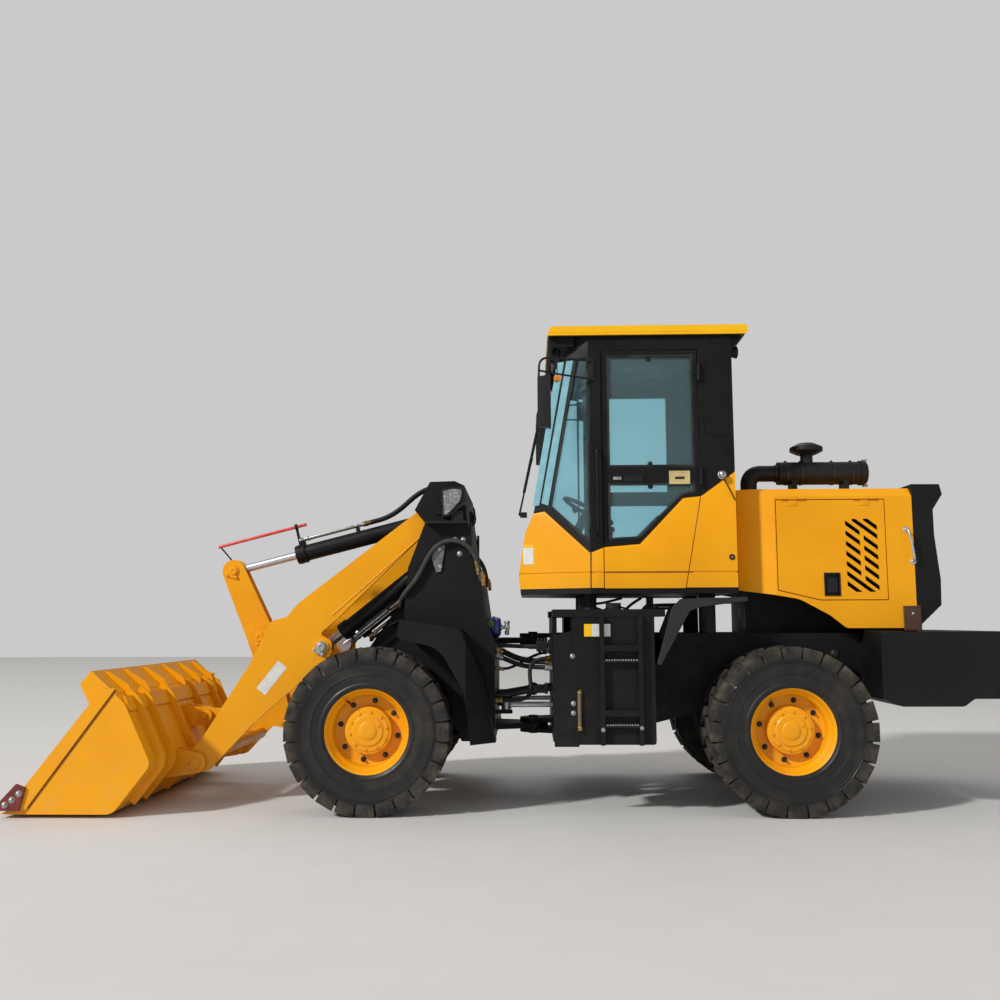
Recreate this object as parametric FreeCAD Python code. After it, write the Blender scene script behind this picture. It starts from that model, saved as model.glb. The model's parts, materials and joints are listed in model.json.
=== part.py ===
import FreeCAD, Part
import math
import os

# Articulated wheel loader, millimetres, +Z up, nose toward -X, left side toward -Y.
# It is drawn from the front axle (x = 0 there) and moved at the end, so that its box is centred on x = 0.

# Overall and running gear
WHEELBASE = 2785
TRACK = 1620
TYRE_R = 545
TYRE_W = 410
LUGS = 24
LUG_DEPTH = 22
RIM_R = 270
RIM_W = 340
RIM_FLANGE = 17
HUB_R = 155
AXLE_CASE_R = 200
BUCKET_TIP_X = -2380
TAIL_X = 4400
SHIFT_X = -(BUCKET_TIP_X + TAIL_X) / 2

# Clearances
PIN_GAP = 0.3
RUN_GAP = 5
LUG_GAP = 3

# Pivots of the boom linkage in side view (x, z)
BOOM_PIN = (430, 2060)
LIFT_BASE = (440, 1757)
LIFT_EYE = (-400, 1086)
CRANK_PIN = (-955, 1147)
CRANK_TOP = (-1180, 1650)
CRANK_LOW = (-780, 540)
BUCKET_PIN = (-1270, 285)
BUCKET_LINK_PIN = (-1370, 565)
CROSS_TUBE = (-620, 1050)
LOW_TUBE = (-1080, 386)
LOW_TUBE_R = 45
LINK_PIN_R = 28

# Half widths and thicknesses of the front end
ARM_IN = 470
ARM_T = 40
TOWER_IN = 270
TOWER_OUT = 545
TOWER_T = 30
LIFT_Y = 385
BUCKET_HALF = 1050
BUCKET_FLOOR_Z = 25
SHELL_T = 18
CRANK_IN = 33
CRANK_T = 25

# Articulation pivot and steering cylinders
PIVOT_X = 1100
PIVOT_R = 35
PIVOT_LUG_R = 110
PIVOT_LOW_Z = 480
PIVOT_HIGH_Z = 1100
PIVOT_LUG_T = 40
FRONT_REAR_X = 830
STEER_Z = 670
STEER_BASE = (1750, 300)
STEER_EYE = (905, 340)

# Rear frame
FRAME_FRONT_X = 1235
FRAME_HALF = 450
FRAME_T = 25
FRAME_TOP_Z = 1174
FRAME_LOW_Z = 437
SIDE_HALF = 980
TANK_X = (1353, 1899)
TANK_Z = (460, 1290)
PLATFORM_T = 50

# Cab
CAB_HALF = 720
CAB_WALL = 40
CAB_LOW_Z = 1450
CAB_TOP_Z = 3270
ROOF_T = 68
GLASS_IN = 14
GLASS_T = 6
DOOR_GAP = 6
HINGE_R = 13
DOOR_HINGE = (2275, -738)
DOOR_HINGE_Z = (2260, CAB_TOP_Z - 270)

# Hood and tail
HOOD_HALF = 600
HOOD_T = 12
HOOD_TOP_Z = 2190
WEIGHT_HALF = 900
WEIGHT_TOP_Z = 1184
TAIL_LAMP_Y = 500
LAMP_DEEP = 18


def V(x, y, z):
    return FreeCAD.Vector(x, y, z)


def edges_through(stops, closed):
    """Edges through (point, corner radius) pairs, with an arc at each corner that has a radius."""
    count = len(stops)
    corners = []
    for i, (point, radius) in enumerate(stops):
        if radius <= 0 or (not closed and i in (0, count - 1)):
            corners.append((point, None, point))
            continue
        back = (stops[i - 1][0] - point).normalize()
        ahead = (stops[(i + 1) % count][0] - point).normalize()
        half = back.getAngle(ahead) / 2
        reach = radius / math.tan(half)
        middle = point + (back + ahead).normalize() * (radius / math.sin(half) - radius)
        corners.append((point + back * reach, middle, point + ahead * reach))
    edges = []
    for i, (start, middle, end) in enumerate(corners):
        if middle is not None:
            edges.append(Part.Arc(start, middle, end).toShape())
        if closed or i < count - 1:
            following = corners[(i + 1) % count][0]
            if end.distanceToPoint(following) > 1e-6:
                edges.append(Part.LineSegment(end, following).toShape())
    return edges


def with_radius(points, place):
    return [(place(p[0], p[1]), p[2] if len(p) > 2 else 0) for p in points]


def face_of(points, place):
    return Part.Face(Part.Wire(edges_through(with_radius(points, place), True)))


def side(points, y0, y1):
    """Side profile of (x, z) or (x, z, corner radius) points, from y0 to y1."""
    return face_of(points, lambda u, v: V(u, y0, v)).extrude(V(0, y1 - y0, 0))


def plan(points, z0, z1):
    """Plan profile of (x, y) or (x, y, corner radius) points, from z0 to z1."""
    return face_of(points, lambda u, v: V(u, v, z0)).extrude(V(0, 0, z1 - z0))


def front(points, x0, x1):
    """Front profile of (y, z) or (y, z, corner radius) points, from x0 to x1."""
    return face_of(points, lambda u, v: V(x0, u, v)).extrude(V(x1 - x0, 0, 0))


def turned(points, centre):
    """Profile of (y, r) or (y, r, corner radius) points, turned about the Y axis through centre."""
    face = face_of(points, lambda u, v: centre + V(0, u, v))
    return face.revolve(centre, V(0, 1, 0), 360)


def turned_up(points, centre):
    """Profile of (r, z) or (r, z, corner radius) points, turned about the Z axis through centre."""
    face = face_of(points, lambda u, v: centre + V(u, 0, v))
    return face.revolve(centre, V(0, 0, 1), 360)


def box(x0, x1, y0, y1, z0, z1):
    return Part.makeBox(x1 - x0, y1 - y0, z1 - z0, V(x0, y0, z0))


def bar(start, end, radius):
    return Part.makeCylinder(radius, (end - start).Length, start, end - start)


def pin(point, radius, y0, y1):
    """Round bar along Y at a side-view point."""
    return Part.makeCylinder(radius, y1 - y0, V(point[0], y0, point[1]), V(0, 1, 0))


def post(x, y, radius, z0, z1):
    return Part.makeCylinder(radius, z1 - z0, V(x, y, z0), V(0, 0, 1))


def strap(a, ra, b, rb, y0, y1):
    """Plate round two side-view points, as a link or lug is cut."""
    gap = math.hypot(b[0] - a[0], b[1] - a[1])
    along = math.atan2(b[1] - a[1], b[0] - a[0])
    lean = math.acos((ra - rb) / gap)
    sides = []
    for turn in (lean, -lean):
        u, v = math.cos(along + turn), math.sin(along + turn)
        sides.append(((a[0] + ra * u, a[1] + ra * v), (b[0] + rb * u, b[1] + rb * v)))
    web = side([sides[0][0], sides[0][1], sides[1][1], sides[1][0]], y0, y1)
    return web.fuse([pin(a, ra, y0, y1), pin(b, rb, y0, y1)])


def band(points, thickness):
    """Closed outline of a bent plate: the points, then the same line set off to its left."""
    count = len(points)
    normals = []
    for i in range(count - 1):
        du, dv = points[i + 1][0] - points[i][0], points[i + 1][1] - points[i][1]
        length = math.hypot(du, dv)
        normals.append((-dv / length, du / length))
    offset = []
    for i, point in enumerate(points):
        a = normals[max(i - 1, 0)]
        b = normals[min(i, count - 2)]
        scale = thickness / (1 + a[0] * b[0] + a[1] * b[1])
        radius = point[2] if len(point) > 2 else 0
        if radius:
            left_turn = a[0] * b[1] - a[1] * b[0] > 0
            radius += -thickness if left_turn else thickness
        offset.append((point[0] + (a[0] + b[0]) * scale, point[1] + (a[1] + b[1]) * scale, radius))
    return list(points) + offset[::-1]


def inset(points, distance, place, extrusion):
    """Profile drawn in by a distance all round, then extruded."""
    face = face_of(points, place)
    if distance:
        face = face.makeOffset2D(-distance, join=2)
    return face.extrude(extrusion)


def pipe(points, radius, bend):
    """Round tube or hose through points in space, bent with one radius."""
    stops = [(point, bend) for point in points]
    path = Part.Wire(edges_through(stops, False))
    section = Part.Wire(Part.makeCircle(radius, points[0], points[1] - points[0]))
    return path.makePipeShell([section], True, False)


def flip(shape):
    return shape.mirror(V(0, 0, 0), V(0, 1, 0))


def pair(shape):
    return [shape, flip(shape)]


def join(shapes):
    return shapes[0].fuse(shapes[1:]).removeSplitter() if len(shapes) > 1 else shapes[0]


def both_sides(shapes):
    return [copy for shape in shapes for copy in pair(shape)]


def placed(shape, origin, along, pin_way):
    """Puts a shape drawn along +X, with its pins along Z, at an origin and direction."""
    x = FreeCAD.Vector(along).normalize()
    z = FreeCAD.Vector(pin_way).normalize()
    y = z.cross(x)
    shape.Placement = FreeCAD.Placement(
        FreeCAD.Matrix(x.x, y.x, z.x, origin.x, x.y, y.y, z.y, origin.y, x.z, y.z, z.z, origin.z, 0, 0, 0, 1)
    )
    return shape


def barrel_pipes(size):
    """Oil pipes beside a barrel, on clamps, each given as off-axis place, side, start, end and radius."""
    shapes = []
    for off, aside, start, end, radius in size.get("pipes", []):
        shapes.append(Part.makeCylinder(radius, end - start, V(start, off, aside), V(1, 0, 0)))
        for x in (start + 60, end - 30):
            low, high = sorted((off + math.copysign(radius * 0.6, off), 0))
            shapes.append(box(x, x + 22, low, high, aside - 6, aside + 6))
    return shapes


def ram(base, eye, pin_way, size):
    """Cylinder barrel and rod between two pins; size names its own dimensions."""
    length = (eye - base).Length
    eye_r, width, barrel_r = size["eye_r"], size["width"], size["barrel_r"]
    rod_r, gland_x, rod_x = size["rod_r"], size["gland_x"], size["rod_x"]
    ring = Part.makeCylinder(eye_r, width, V(0, 0, -width / 2))
    neck = Part.makeCylinder(width * 0.48, size["neck"], V(0, 0, 0), V(1, 0, 0))
    tube = Part.makeCylinder(barrel_r, gland_x - size["neck"], V(size["neck"], 0, 0), V(1, 0, 0))
    gland = Part.makeCylinder(barrel_r + 8, 70, V(gland_x - 70, 0, 0), V(1, 0, 0))
    bore = Part.makeCylinder(rod_r + 0.5, length, V(rod_x - size["back"] - 20, 0, 0), V(1, 0, 0))
    hole = Part.makeCylinder(size["pin_r"] + PIN_GAP, width + 2, V(0, 0, -width / 2 - 1))
    barrel = join([ring, neck, tube, gland] + barrel_pipes(size)).cut([bore, hole])
    shaft = Part.makeCylinder(rod_r, length - rod_x, V(rod_x, 0, 0), V(1, 0, 0))
    rod_eye = Part.makeCylinder(eye_r, width, V(length, 0, -width / 2))
    rod = join([shaft, rod_eye])
    return [placed(shape, base, eye - base, pin_way) for shape in (barrel, rod)]


def save(name, shapes):
    solids = [solid for shape in shapes for solid in shape.Solids]
    whole = solids[0] if len(solids) == 1 else Part.Compound(solids)
    whole = whole.copy()
    whole.translate(V(SHIFT_X, 0, 0))
    whole.exportStep("parts/%s.step" % name)


# Wheels


def lug(turn, hand):
    """Tread lug from the shoulder to the middle of the tyre's top, turned round the axle."""
    shoulder, middle = TYRE_W / 2, 12
    outline = [(-60, shoulder), (-2, shoulder), (54, middle), (14, middle)]
    bar_block = plan([(x, y * hand) for x, y in outline], 466, TYRE_R + 20)
    bar_block.rotate(V(0, 0, 0), V(0, 1, 0), turn)
    return bar_block


def tyre():
    casing_r = TYRE_R - LUG_DEPTH
    seat = RIM_W / 2 - 7
    right = [(seat, RIM_R + PIN_GAP), (188, 345), (199, 430), (192, 490), (164, casing_r)]
    left = [(-y, r) for y, r in right[::-1]]
    casing = turned(right + left, V(0, 0, 0))
    pitch = 360 / LUGS
    lugs = [lug(i * pitch, -1) for i in range(LUGS)] + [lug((i + 0.5) * pitch, 1) for i in range(LUGS)]
    outside = pin((0, 0), TYRE_R, -TYRE_W / 2, TYRE_W / 2)
    return casing.fuse([bar_block.common(outside) for bar_block in lugs])


def rim():
    end = RIM_W / 2
    flange_r = RIM_R + RIM_FLANGE
    centre = V(0, 0, 0)
    barrel = [(-end - 8, flange_r, 5), (-end, flange_r), (-end, RIM_R), (end, RIM_R), (end, flange_r)]
    barrel += [(end + 8, flange_r, 5), (end + 8, RIM_R - 12), (-end - 8, RIM_R - 12)]
    disc = [(-95, RIM_R - 6), (-60, RIM_R - 6), (-25, 205, 20), (-25, 90), (-45, 90), (-45, 200, 15)]
    hub = [(-130, 0), (-130, 70, 12), (-112, 118, 10), (-80, HUB_R - 15, 8), (-40, HUB_R), (45, HUB_R)]
    hub += [(45, 60 + PIN_GAP), (-20, 60 + PIN_GAP), (-20, 0)]
    return join([turned(barrel, centre), turned(disc, centre), turned(hub, centre)])


def save_wheels():
    made = {"tyre": tyre(), "rim": rim()}
    for place, x in (("front", 0), ("rear", WHEELBASE)):
        for part, shape in made.items():
            wheel_part = shape.copy()
            wheel_part.translate(V(x, -TRACK / 2, TYRE_R))
            save("%s_%s_left" % (part, place), [wheel_part])
            save("%s_%s_right" % (part, place), [flip(wheel_part)])


def axle(x, pad_top, pad_half):
    centre = V(x, 0, TYRE_R)
    spindle = TRACK / 2 + 15
    flange = TRACK / 2 - 45 - RUN_GAP
    profile = [(-spindle, 0), (-spindle, 60), (-flange, 60), (-flange, 110), (-flange + 40, 110, 10)]
    profile += [(-flange + 60, 85), (-260, 95), (-150, AXLE_CASE_R, 60), (150, AXLE_CASE_R, 60), (260, 95)]
    profile += [(flange - 60, 85), (flange - 40, 110, 10), (flange, 110), (flange, 60), (spindle, 60)]
    profile += [(spindle, 0)]
    pads = [box(x - 90, x + 90, y - 45, y + 45, TYRE_R, pad_top) for y in (-pad_half, pad_half)]
    return join([turned(profile, centre)] + pads)


# Front frame

TOWER_REAR = [(616, 2227), (633, 2016), (680, 1708), (734, 1527), (767, 1294), (830, 1130), (830, 437)]


def front_frame():
    inner_front = [(200, 1640), (60, 1300, 100), (-180, 950, 120), (-260, 700), (260, 700), (300, 470)]
    head = [(370, 2255, 15), (547, 2260, 20)]
    notch = [(336, 1960), (261, 2052)]
    inner = side(head + TOWER_REAR + inner_front[::-1] + notch, -TOWER_IN - TOWER_T, -TOWER_IN)
    outer_front = [(217, 1640), (190, 1300, 80), (330, 1000, 60), (600, 437)]
    outer = side(head + TOWER_REAR + outer_front[::-1] + notch, -TOWER_OUT - TOWER_T, -TOWER_OUT)
    back = side(band(TOWER_REAR[::-1], 20), -TOWER_OUT - TOWER_T, TOWER_OUT + TOWER_T)
    cover = side(band([(616, 2227), (547, 2258), (480, 2256)], 15), -TOWER_IN, TOWER_IN)
    belly = side([(300, 470), (830, 437), (830, 462), (300, 495)], -TOWER_OUT, TOWER_OUT)
    deck_z = TYRE_R + AXLE_CASE_R + 20
    deck = side(band([(-150, 700), (-150, deck_z), (260, deck_z)], 25), -TOWER_IN, TOWER_IN)
    shapes = both_sides([inner, outer]) + [back, cover, belly, deck]
    centre_lug = strap(BOOM_PIN, 70, (605, 2040), 60, -95, -65)
    for centre, radius in ((BOOM_PIN, 40), (LIFT_BASE, 30)):
        shapes += pair(pin(centre, radius, -TOWER_OUT - TOWER_T - 12, -TOWER_IN))
    shapes.append(pin(BOOM_PIN, 32, -TOWER_IN, TOWER_IN))
    shapes += pair(centre_lug)
    shapes += [pivot_lug(z) for z in (PIVOT_LOW_Z, PIVOT_HIGH_Z)]
    shapes += both_sides([steer_lug(-STEER_EYE[1], z) for z in (STEER_Z - 62, STEER_Z + 38)])
    shaft_hole = Part.makeCylinder(110, 100, V(780, 0, 760), V(1, 0, 0))
    return join(shapes).cut(shaft_hole)


def pivot_lug(z):
    """Single lug of the front frame, between the two of the rear frame."""
    outline = [(FRONT_REAR_X - 15, -220), (PIVOT_X, -PIVOT_LUG_R), (PIVOT_X, PIVOT_LUG_R)]
    outline += [(FRONT_REAR_X - 15, 220)]
    plate = plan(outline, z, z + PIVOT_LUG_T)
    nose = post(PIVOT_X, 0, PIVOT_LUG_R, z, z + PIVOT_LUG_T)
    bore = post(PIVOT_X, 0, PIVOT_R + PIN_GAP, z - 1, z + PIVOT_LUG_T + 1)
    return plate.fuse(nose).cut(bore)


def steer_lug(y, z):
    root = FRONT_REAR_X - 15
    plate = box(root, STEER_EYE[0], y - 45, y + 45, z, z + 24)
    return plate.fuse(post(STEER_EYE[0], y, 45, z, z + 24))


FENDER_CORNER = [(100, -SIDE_HALF), (650, -SIDE_HALF), (860, -770)]


def front_fender():
    """Fender with a bevelled rear corner, which passes the side tank at full lock."""
    line = [(843, 453), (753, 899, 60), (608, 1216, 60), (208, 1278, 30), (132, 1240)]
    inner_y = -TOWER_OUT - TOWER_T
    cover = plan(FENDER_CORNER + [(860, inner_y), (100, inner_y)], 400, 1400)
    sheet = side(band(line, 10), -SIDE_HALF, inner_y).common(cover)
    skirt_line = line[:4] + [(190, 1150, 40), (470, 1090, 200), (640, 800, 100), (680, 453)]
    skirt = side(skirt_line, -SIDE_HALF, inner_y).common(plan(band(FENDER_CORNER, 10), 400, 1400))
    return join([sheet, skirt])


def headlamp():
    y0, y1 = -TOWER_OUT - TOWER_T - 90, -TOWER_OUT - TOWER_T
    case = side([(455, 2195, 20), (625, 2210, 25), (640, 2100, 20), (520, 2000, 20), (462, 1990, 15)], y0, y1)
    shelf = box(345, 640, y0 + 10, y1, 1950, 1968)
    stem = box(530, 610, y0 + 20, y1, 1968, 2040)
    return join([case, shelf, stem]).cut(pin(BOOM_PIN, 42, y0, y1))


# Boom and bucket linkage

ARM_TOP = [(378, 2127), (-575, 1396, 60), (-657, 1298, 60), (-770, 1270, 50), (-914, 967, 200)]
ARM_TIP = [(-1249, 434), (-1343, 335, 60), (-1255, 206, 60), (-1184, 230, 30), (-882, 548)]
ARM_LOW = [(-675, 731), (-414, 959, 60), (-330, 1040, 40), (-335, 1130, 40), (-420, 1175, 20)]
ARM_BACK = [(-280, 1297, 40), (312, 1877), (482, 1993)]


def boom():
    arm = side(ARM_TOP + ARM_TIP + ARM_LOW + ARM_BACK, -ARM_IN - ARM_T, -ARM_IN)
    head = pin(BOOM_PIN, 95, -TOWER_OUT + 10, -ARM_IN + 25)
    rod_boss = pin(LIFT_EYE, 50, -ARM_IN - ARM_T - 15, -LIFT_Y - 35)
    tip = pin(BUCKET_PIN, 70, -ARM_IN - ARM_T - 3, -ARM_IN + 3)
    crank_lug = strap(CROSS_TUBE, 100, CRANK_PIN, 80, -CRANK_IN - CRANK_T - 38, -CRANK_IN - CRANK_T - 8)
    shapes = both_sides([arm, head, rod_boss, tip, crank_lug])
    shapes.append(pin(CROSS_TUBE, 95, -ARM_IN, ARM_IN))
    shapes.append(pin(LOW_TUBE, LOW_TUBE_R, -ARM_IN, ARM_IN))
    reach = CRANK_IN + CRANK_T + 50
    shapes.append(pin(CRANK_PIN, 38, -reach, reach))
    whole = join(shapes)
    bores = both_sides([pin(BOOM_PIN, 40 + PIN_GAP, -TOWER_OUT, -TOWER_IN - TOWER_T)])
    bores += both_sides([pin(BUCKET_PIN, 35 + PIN_GAP, -TOWER_OUT, -ARM_IN + 10)])
    return whole.cut(bores)


def bell_crank():
    outer = CRANK_IN + CRANK_T
    plates = []
    for y0, y1 in ((-outer, -CRANK_IN), (CRANK_IN, outer)):
        plates.append(strap(CRANK_TOP, 85, CRANK_PIN, 105, y0, y1))
        plates.append(strap(CRANK_PIN, 105, CRANK_LOW, 62, y0, y1))
    hub = pin(CRANK_PIN, 75, -outer, outer)
    caps = []
    for centre, radius in ((CRANK_TOP, 38), (CRANK_LOW, 34)):
        caps += [pin(centre, radius, y0, y0 + 10) for y0 in (-outer - 10, outer)]
    whole = join(plates + caps + [hub])
    return whole.cut(pin(CRANK_PIN, 38 + PIN_GAP, -outer - 1, outer + 1))


def tilt_link():
    half = CRANK_IN - LUG_GAP
    link = strap(CRANK_LOW, 58, BUCKET_LINK_PIN, 55, -half, half)
    return link.cut(pin(BUCKET_LINK_PIN, LINK_PIN_R + PIN_GAP, -half - 1, half + 1))


BUCKET_BACK = [(-1642, BUCKET_FLOOR_Z, 90), (-1400, 340, 70), (-1588, 735, 120), (-1700, 835)]
BUCKET_LIP_X = -2190
BLADE_REAR_X = -2330
BLADE_T = 25
DOUBLER_T = 12
RIB_OUT = 50
RIB_LINE = [(-1592, 90), (-1400, 340, 70), (-1588, 735, 120), (-1652, 791)]
RIB_Y = [-BUCKET_HALF * share for share in (0.857, 0.657, 0.257)]
GUSSET_Y = [-BUCKET_HALF * share for share in (0.838, 0.534, 0.19)]


def bucket():
    line = [(BUCKET_LIP_X, BUCKET_FLOOR_Z)] + BUCKET_BACK
    shell = side(band(line, SHELL_T), -BUCKET_HALF, BUCKET_HALF)
    cheek_line = [(BLADE_REAR_X, BUCKET_FLOOR_Z + BLADE_T), (BUCKET_LIP_X, BUCKET_FLOOR_Z + BLADE_T)]
    cheek_line += line + [(-1735, 835, 20)]
    cheek = side(cheek_line, -BUCKET_HALF, -BUCKET_HALF + 22)
    guard = side(band([(-1655, 800), (-1816, 945)], 12), -BUCKET_HALF, BUCKET_HALF)
    guard_line = [(-1816, 945), (-1889, 860), (-1816, 722), (-1640, 790)]
    guard_end = side(guard_line, -BUCKET_HALF, -BUCKET_HALF + 16)
    cavity = side(band(line, SHELL_T)[len(line):] + [(-2400, BUCKET_FLOOR_Z + SHELL_T), (-2400, 900)],
                  -BUCKET_HALF + 22, BUCKET_HALF - 22)
    lugs = []
    for y0 in (-ARM_IN - ARM_T - 8 - 25, -ARM_IN + 8):
        lugs.append(strap(BUCKET_PIN, 72, (-1500, 290), 110, y0, y0 + 25))
    lugs.append(strap(BUCKET_LINK_PIN, 58, (-1540, 560), 90, -68, -43))
    lugs = [lug.cut(cavity) for lug in lugs]
    pins = [pin(BUCKET_PIN, 35, -ARM_IN - ARM_T - 45, -ARM_IN + 45)]
    link_pin = pin(BUCKET_LINK_PIN, LINK_PIN_R, -78, 78)
    doubler = side([(BLADE_REAR_X, 60), (-1738, 832), (-1648, 832), (-2205, 60)],
                   -BUCKET_HALF - DOUBLER_T, -BUCKET_HALF)
    ribs = [side(band(RIB_LINE, -RIB_OUT), y, y + 14) for y in RIB_Y]
    gussets = [side([(-1666, 802), (-1632, 840), (-1800, 922)], y, y + 10) for y in GUSSET_Y]
    shapes = [cheek, guard_end, doubler] + lugs + pins + ribs + gussets
    return join([shell, guard, link_pin] + both_sides(shapes))


def cutting_edge():
    low = BUCKET_FLOOR_Z
    high = low + BLADE_T
    outline = [(BUCKET_TIP_X, low), (BUCKET_LIP_X, low), (BUCKET_LIP_X, high), (BLADE_REAR_X, high)]
    return side(outline, -BUCKET_HALF, BUCKET_HALF)


def side_cutter():
    """Bolted wear plate over the cheek's front corner."""
    outline = [(-2376, 52), (-2380, 100), (-2268, 222), (-2206, 200), (-2240, 52)]
    y0 = -BUCKET_HALF - DOUBLER_T - 16
    plate = side(outline, y0, y0 + 16)
    heads = [pin(centre, 14, y0 - 9, y0) for centre in ((-2335, 90), (-2290, 120), (-2246, 160))]
    return join([plate] + heads)


# Rear frame and tail


def rear_frame():
    bottom = [(3400, 760), (3150, 700, 100), (2500, 690, 100), (2000, 560, 200), (1500, FRAME_LOW_Z)]
    outline = [(FRAME_FRONT_X, FRAME_LOW_Z), (FRAME_FRONT_X, FRAME_TOP_Z), (3400, FRAME_TOP_Z)] + bottom
    rail = side(outline, -FRAME_HALF, -FRAME_HALF + FRAME_T)
    rail = rail.cut(box(FRAME_FRONT_X - 1, 1500, -FRAME_HALF - 1, -425, STEER_Z - 70, STEER_Z + 70))
    wall = box(FRAME_FRONT_X, FRAME_FRONT_X + 30, -600, 600, FRAME_LOW_Z, TANK_Z[1])
    windows = pair(box(FRAME_FRONT_X - 1, FRAME_FRONT_X + 31, -470, -150, STEER_Z - 70, STEER_Z + 70))
    windows.append(Part.makeCylinder(110, 32, V(FRAME_FRONT_X - 1, 0, 800), V(1, 0, 0)))
    wall = wall.cut(windows)
    half = FRAME_HALF - FRAME_T
    deck = box(FRAME_FRONT_X + 30, 2480, -half, half, FRAME_TOP_Z - 24, FRAME_TOP_Z)
    shapes = pair(rail) + [wall, deck]
    for x, z in ((1700, 550), (2300, 680), (3050, 740)):
        shapes.append(box(x, x + 60, -half, half, z, z + 80))
    shapes.append(box(3370, 3400, -half, half, 760, FRAME_TOP_Z))
    for z in (PIVOT_LOW_Z, PIVOT_HIGH_Z):
        for z0 in (z - LUG_GAP - 30, z + PIVOT_LUG_T + LUG_GAP):
            fork = plan([(FRAME_FRONT_X, -160), (PIVOT_X, -100), (PIVOT_X, 100), (FRAME_FRONT_X, 160)],
                        z0, z0 + 30)
            shapes += [fork, post(PIVOT_X, 0, 100, z0, z0 + 30)]
        shapes.append(post(PIVOT_X, 0, PIVOT_R, z - 45, z + PIVOT_LUG_T + 45))
    for z0 in (STEER_Z - 62, STEER_Z + 38):
        lug = box(STEER_BASE[0] - 45, STEER_BASE[0] + 45, -half, -STEER_BASE[1] + 45, z0, z0 + 24)
        shapes += pair(lug)
    shapes += pair(post(STEER_BASE[0], -STEER_BASE[1], 22, STEER_Z - 62, STEER_Z + 62))
    return join(shapes)


def counterweight():
    profile = [(3400, 745), (3523, 697, 60), (3926, 697, 60), (3994, 747, 40), (TAIL_X, 747, 60)]
    profile += [(TAIL_X, WEIGHT_TOP_Z, 40), (3400, WEIGHT_TOP_Z)]
    mass = side(profile, -WEIGHT_HALF, WEIGHT_HALF)
    corners = plan([(3300, -WEIGHT_HALF), (TAIL_X - 180, -WEIGHT_HALF, 120),
                    (TAIL_X, -WEIGHT_HALF + 260, 120), (TAIL_X, WEIGHT_HALF - 260, 120),
                    (TAIL_X - 180, WEIGHT_HALF, 120), (3300, WEIGHT_HALF)], 600, 1300)
    mass = mass.common(corners)
    slot = box(TAIL_X - 170, TAIL_X + 5, -110, 110, 900, 1000)
    bore = post(TAIL_X - 80, 0, 20, 700, 1300)
    pockets = [box(TAIL_X - LAMP_DEEP, TAIL_X + 5, y - 80, y + 80, 1035, 1105)
               for y in (-TAIL_LAMP_Y, TAIL_LAMP_Y)]
    return mass.cut([slot, bore] + pockets)


def rear_fender():
    line = [(1923, 981), (2083, 1375, 60), (2497, 1381)]
    sheet = side(band(line, 10), -SIDE_HALF, -FRAME_HALF)
    return sheet


def side_tank():
    x0, x1 = TANK_X
    z0, z1 = TANK_Z
    return side([(x0, z0, 20), (x1, z0, 20), (x1, z1), (x0, z1)], -SIDE_HALF + 5, -610)


def steps():
    z0 = TANK_Z[1]
    platform = box(1231, 1971, -SIDE_HALF, -FRAME_HALF - 2, z0, z0 + PLATFORM_T)
    rails = [box(x, x + 30, -SIDE_HALF - 40, -SIDE_HALF + 5, TANK_Z[0], z0 + 10) for x in (1534, 1785)]
    rungs = [box(1534, 1815, -SIDE_HALF - 40, -SIDE_HALF + 5, z, z + 40) for z in (646, 1066)]
    return join([platform] + rails + rungs)


def powertrain():
    engine = box(2650, 3330, -260, 260, 830, 1850)
    gearbox = box(1950, 2640, -230, 230, 760, 1130)
    feet = [box(x, x + 80, -425, 425, 820, 900) for x in (2750, 3200)]
    radiator = box(3420, 3560, -430, 430, WEIGHT_TOP_Z, 2050)
    return [join([engine] + feet), gearbox, radiator]


# Cab

CAB_SIDE = [(1015, 1450), (1000, 1590), (1048, 1892), (1120, 2056), (1375, CAB_TOP_Z), (2511, CAB_TOP_Z)]
CAB_SIDE += [(2511, 1450)]
CREASE_Z = 1590
CAB_PLAN = [(900, -390), (1500, -CAB_HALF), (2511, -CAB_HALF), (2511, CAB_HALF), (1500, CAB_HALF), (900, 390)]
YELLOW = [(980, 1400), (980, 1600), (1048, 1960), (1090, 2032), (1188, 2045), (1496, 1737), (1600, 1777)]
YELLOW += [(1840, 1796), (2144, 2114), (2278, 2129), (2540, 2320), (2540, 1400)]
DOOR_TOP_Z = CAB_TOP_Z - 100
LIGHT_TOP_Z = CAB_TOP_Z - 140
DOOR_LINE = [(1590, 1480), (1590, DOOR_TOP_Z), (2270, DOOR_TOP_Z), (2270, 2106), (2155, 1480)]
QUARTER = [(1225, 2070), (1500, 1795), (1540, 1795), (1540, LIGHT_TOP_Z), (1415, LIGHT_TOP_Z)]
DOOR_TOP_LIGHT = [(1630, 2330), (2235, 2330), (2235, LIGHT_TOP_Z), (1630, LIGHT_TOP_Z)]
DOOR_LOW_LIGHT = [(1630, 1820), (1840, 1830), (2140, 2130), (2235, 2150), (2235, 2215), (1630, 2215)]


def cab_solid(depth):
    sides = inset(CAB_SIDE, depth, lambda u, v: V(u, -CAB_HALF, v), V(0, 2 * CAB_HALF, 0))
    above = inset(CAB_PLAN, depth, lambda u, v: V(u, v, 1300), V(0, 0, 2200))
    return sides.common(above)


def light_cutters():
    left = [side(QUARTER, -CAB_HALF - 10, -300)]
    right = [flip(left[0]), side(DOOR_TOP_LIGHT, 600, 800), side(DOOR_LOW_LIGHT, 600, 800)]
    screen = front([(-400, 2085), (400, 2085), (545, LIGHT_TOP_Z), (-545, LIGHT_TOP_Z)], 900, 1500)
    rear_top = LIGHT_TOP_Z - 10
    rear = front([(-560, 2360, 40), (560, 2360, 40), (560, rear_top, 40), (-560, rear_top, 40)], 2450, 2600)
    return left + right + [screen, rear]


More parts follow.
